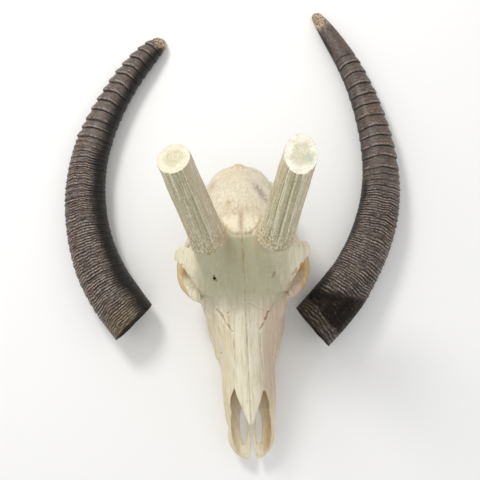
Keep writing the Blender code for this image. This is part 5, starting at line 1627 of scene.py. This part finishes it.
def horn_material(word):
    shader = Shader(word + "_horn_keratin", IOR=1.55)
    ramp, times, noise = shader.ramp, shader.times, shader.noise
    left = word == "left"
    flow = shader.attribute("flow", "Vector")
    streaks = noise((150.0, 620.0, 60.0), 4.0, 0.6, flow)
    layers = noise((520.0, 95.0, 60.0), 4.0, 0.62, flow)
    mottle, broad, specks = noise(130.0, 4.0, 0.62), noise(28.0), noise(1200.0, 2.0)
    even = ramp("coarse", 0.0, 1.0, 0.52, 1.0)
    # Painted highlight on the crests, broken by the streaks.
    glint = times(ramp(streaks, 0.58, 0.40, 1.0, 0.15), ramp("painted_relief_shading", 0.58, 0.95, 0.72))
    horn = shader.paint(
        tone(72, 63, 58) if left else tone(80, 70, 65),
        (ramp(broad, 0.35, 0.65), *((92, 81, 75) if left else (102, 90, 84))),
        (times("upper", 0.6), 106, 93, 87),
        (times("rust", ramp(mottle, 0.44, 0.66, 0.55)), 128, 92, 66),
        (times("rim", 0.75), *((60, 50, 36) if left else (118, 100, 68))),
        (times(even, ramp(layers, 0.47, 0.62, 0.80)), 34, 28, 27),
        (times(even, ramp(layers, 0.46, 0.33, 0.68)), 158, 144, 132),
        (times(even, ramp(streaks, 0.50, 0.64, 0.68)), 36, 30, 29),
        # Painted shade in the grooves and the valleys of the wrinkles.
        (ramp("painted_relief_shading", 0.40, 0.10, 0.95), 13, 10, 10),
        # Painted highlight on the crests, weaker on the rim.
        (times(glint, ramp("rim", 0.0, 1.0, 0.30 if left else 0.80, 1.0)), 184, 168, 153),
        (times("shade", 0.94), 14, 12, 13),
        (times("dark", 0.88), 14, 11, 9))
    tip = shader.paint(tone(196, 174, 152), (ramp(mottle, 0.35, 0.65), 150, 126, 104), ("pits", 52, 40, 32))
    colour = shader.paint(shader.mix("tan", horn, tip), ("inside", 52, 42, 32),
                          (ramp(specks, 0.64, 0.80, 0.35), 150, 134, 122))
    shader.feed(shader.surface.inputs["Specular IOR Level"], ramp("dark", 0.0, 1.0, 0.07, 0.24))
    shader.bumps((streaks, times(even, 0.60), 0.0005), (layers, times(even, 0.80), 0.0008),
                 (specks, 0.3, 0.0002))
    roughness = shader.plus(ramp(mottle, 0.3, 0.7, 0.56, 0.34), times("tan", 0.2))
    return shader.done(colour, shader.plus(roughness, times("coarse", -0.06)))


def floor_material():
    shader = Shader("pale_floor", Specular_IOR_Level=0.2)
    grain = shader.ramp(shader.noise(14.0), 0.3, 0.7)
    return shader.done(shader.paint(tone(247, 247, 246), (grain, 250, 250, 250)), 0.8)


def aimed(made, way, reach, target=Vector()):
    """Puts a lamp or camera out along a direction from its target, looking back at it."""
    made.location = target + way * reach
    made.rotation_euler = way.to_track_quat("Z", "Y").to_euler()
    bpy.context.scene.collection.objects.link(made)


def stage():
    bpy.ops.mesh.primitive_plane_add(size=FLOOR_SIZE, location=(0, 0, 0))
    floor = bpy.context.object
    floor.name = "floor"
    floor.data.materials.append(floor_material())
    world = bpy.data.worlds.new("studio")
    world.use_nodes = True
    world.node_tree.nodes["Background"].inputs["Color"].default_value = (1.0, 1.0, 1.0, 1.0)
    world.node_tree.nodes["Background"].inputs["Strength"].default_value = FILL_STRENGTH
    bpy.context.scene.world = world
    light = bpy.data.objects.new("key_light", bpy.data.lights.new("key_light", "AREA"))
    light.data.shape = "DISK"
    light.data.size = KEY_SIZE
    light.data.energy = KEY_POWER
    light.data.color = KEY_COLOUR
    level = math.cos(KEY_HEIGHT)
    way = Vector((-math.sin(KEY_TURN) * level, math.cos(KEY_TURN) * level, math.sin(KEY_HEIGHT)))
    aimed(light, way, KEY_DISTANCE)


def camera():
    data = bpy.data.cameras.new("camera")
    data.sensor_width = SENSOR_WIDTH
    data.lens = PHOTO_FOCAL_PIXELS / PHOTO_WIDTH * SENSOR_WIDTH
    data.clip_start = CLIP_START
    made = bpy.data.objects.new("camera", data)
    aimed(made, Vector((0, -math.cos(VIEW_HEIGHT), math.sin(VIEW_HEIGHT))), VIEW_DISTANCE, VIEW_TARGET)
    bpy.context.scene.camera = made


dressed = bpy.data.collections.new("dressed_skull")
cutters = bpy.data.collections.new("helpers")
for collection in (dressed, cutters):
    bpy.context.scene.collection.children.link(collection)
cutters.hide_render = True
bpy.context.scene.view_settings.view_transform = "Standard"
stage()
camera()
skull_bone()
cheek_teeth()
for side in (1, -1):
    horn_core(side)
for word in ("left", "right"):
    horn_sheath(word)
for helper in list(cutters.objects):
    bpy.data.objects.remove(helper)
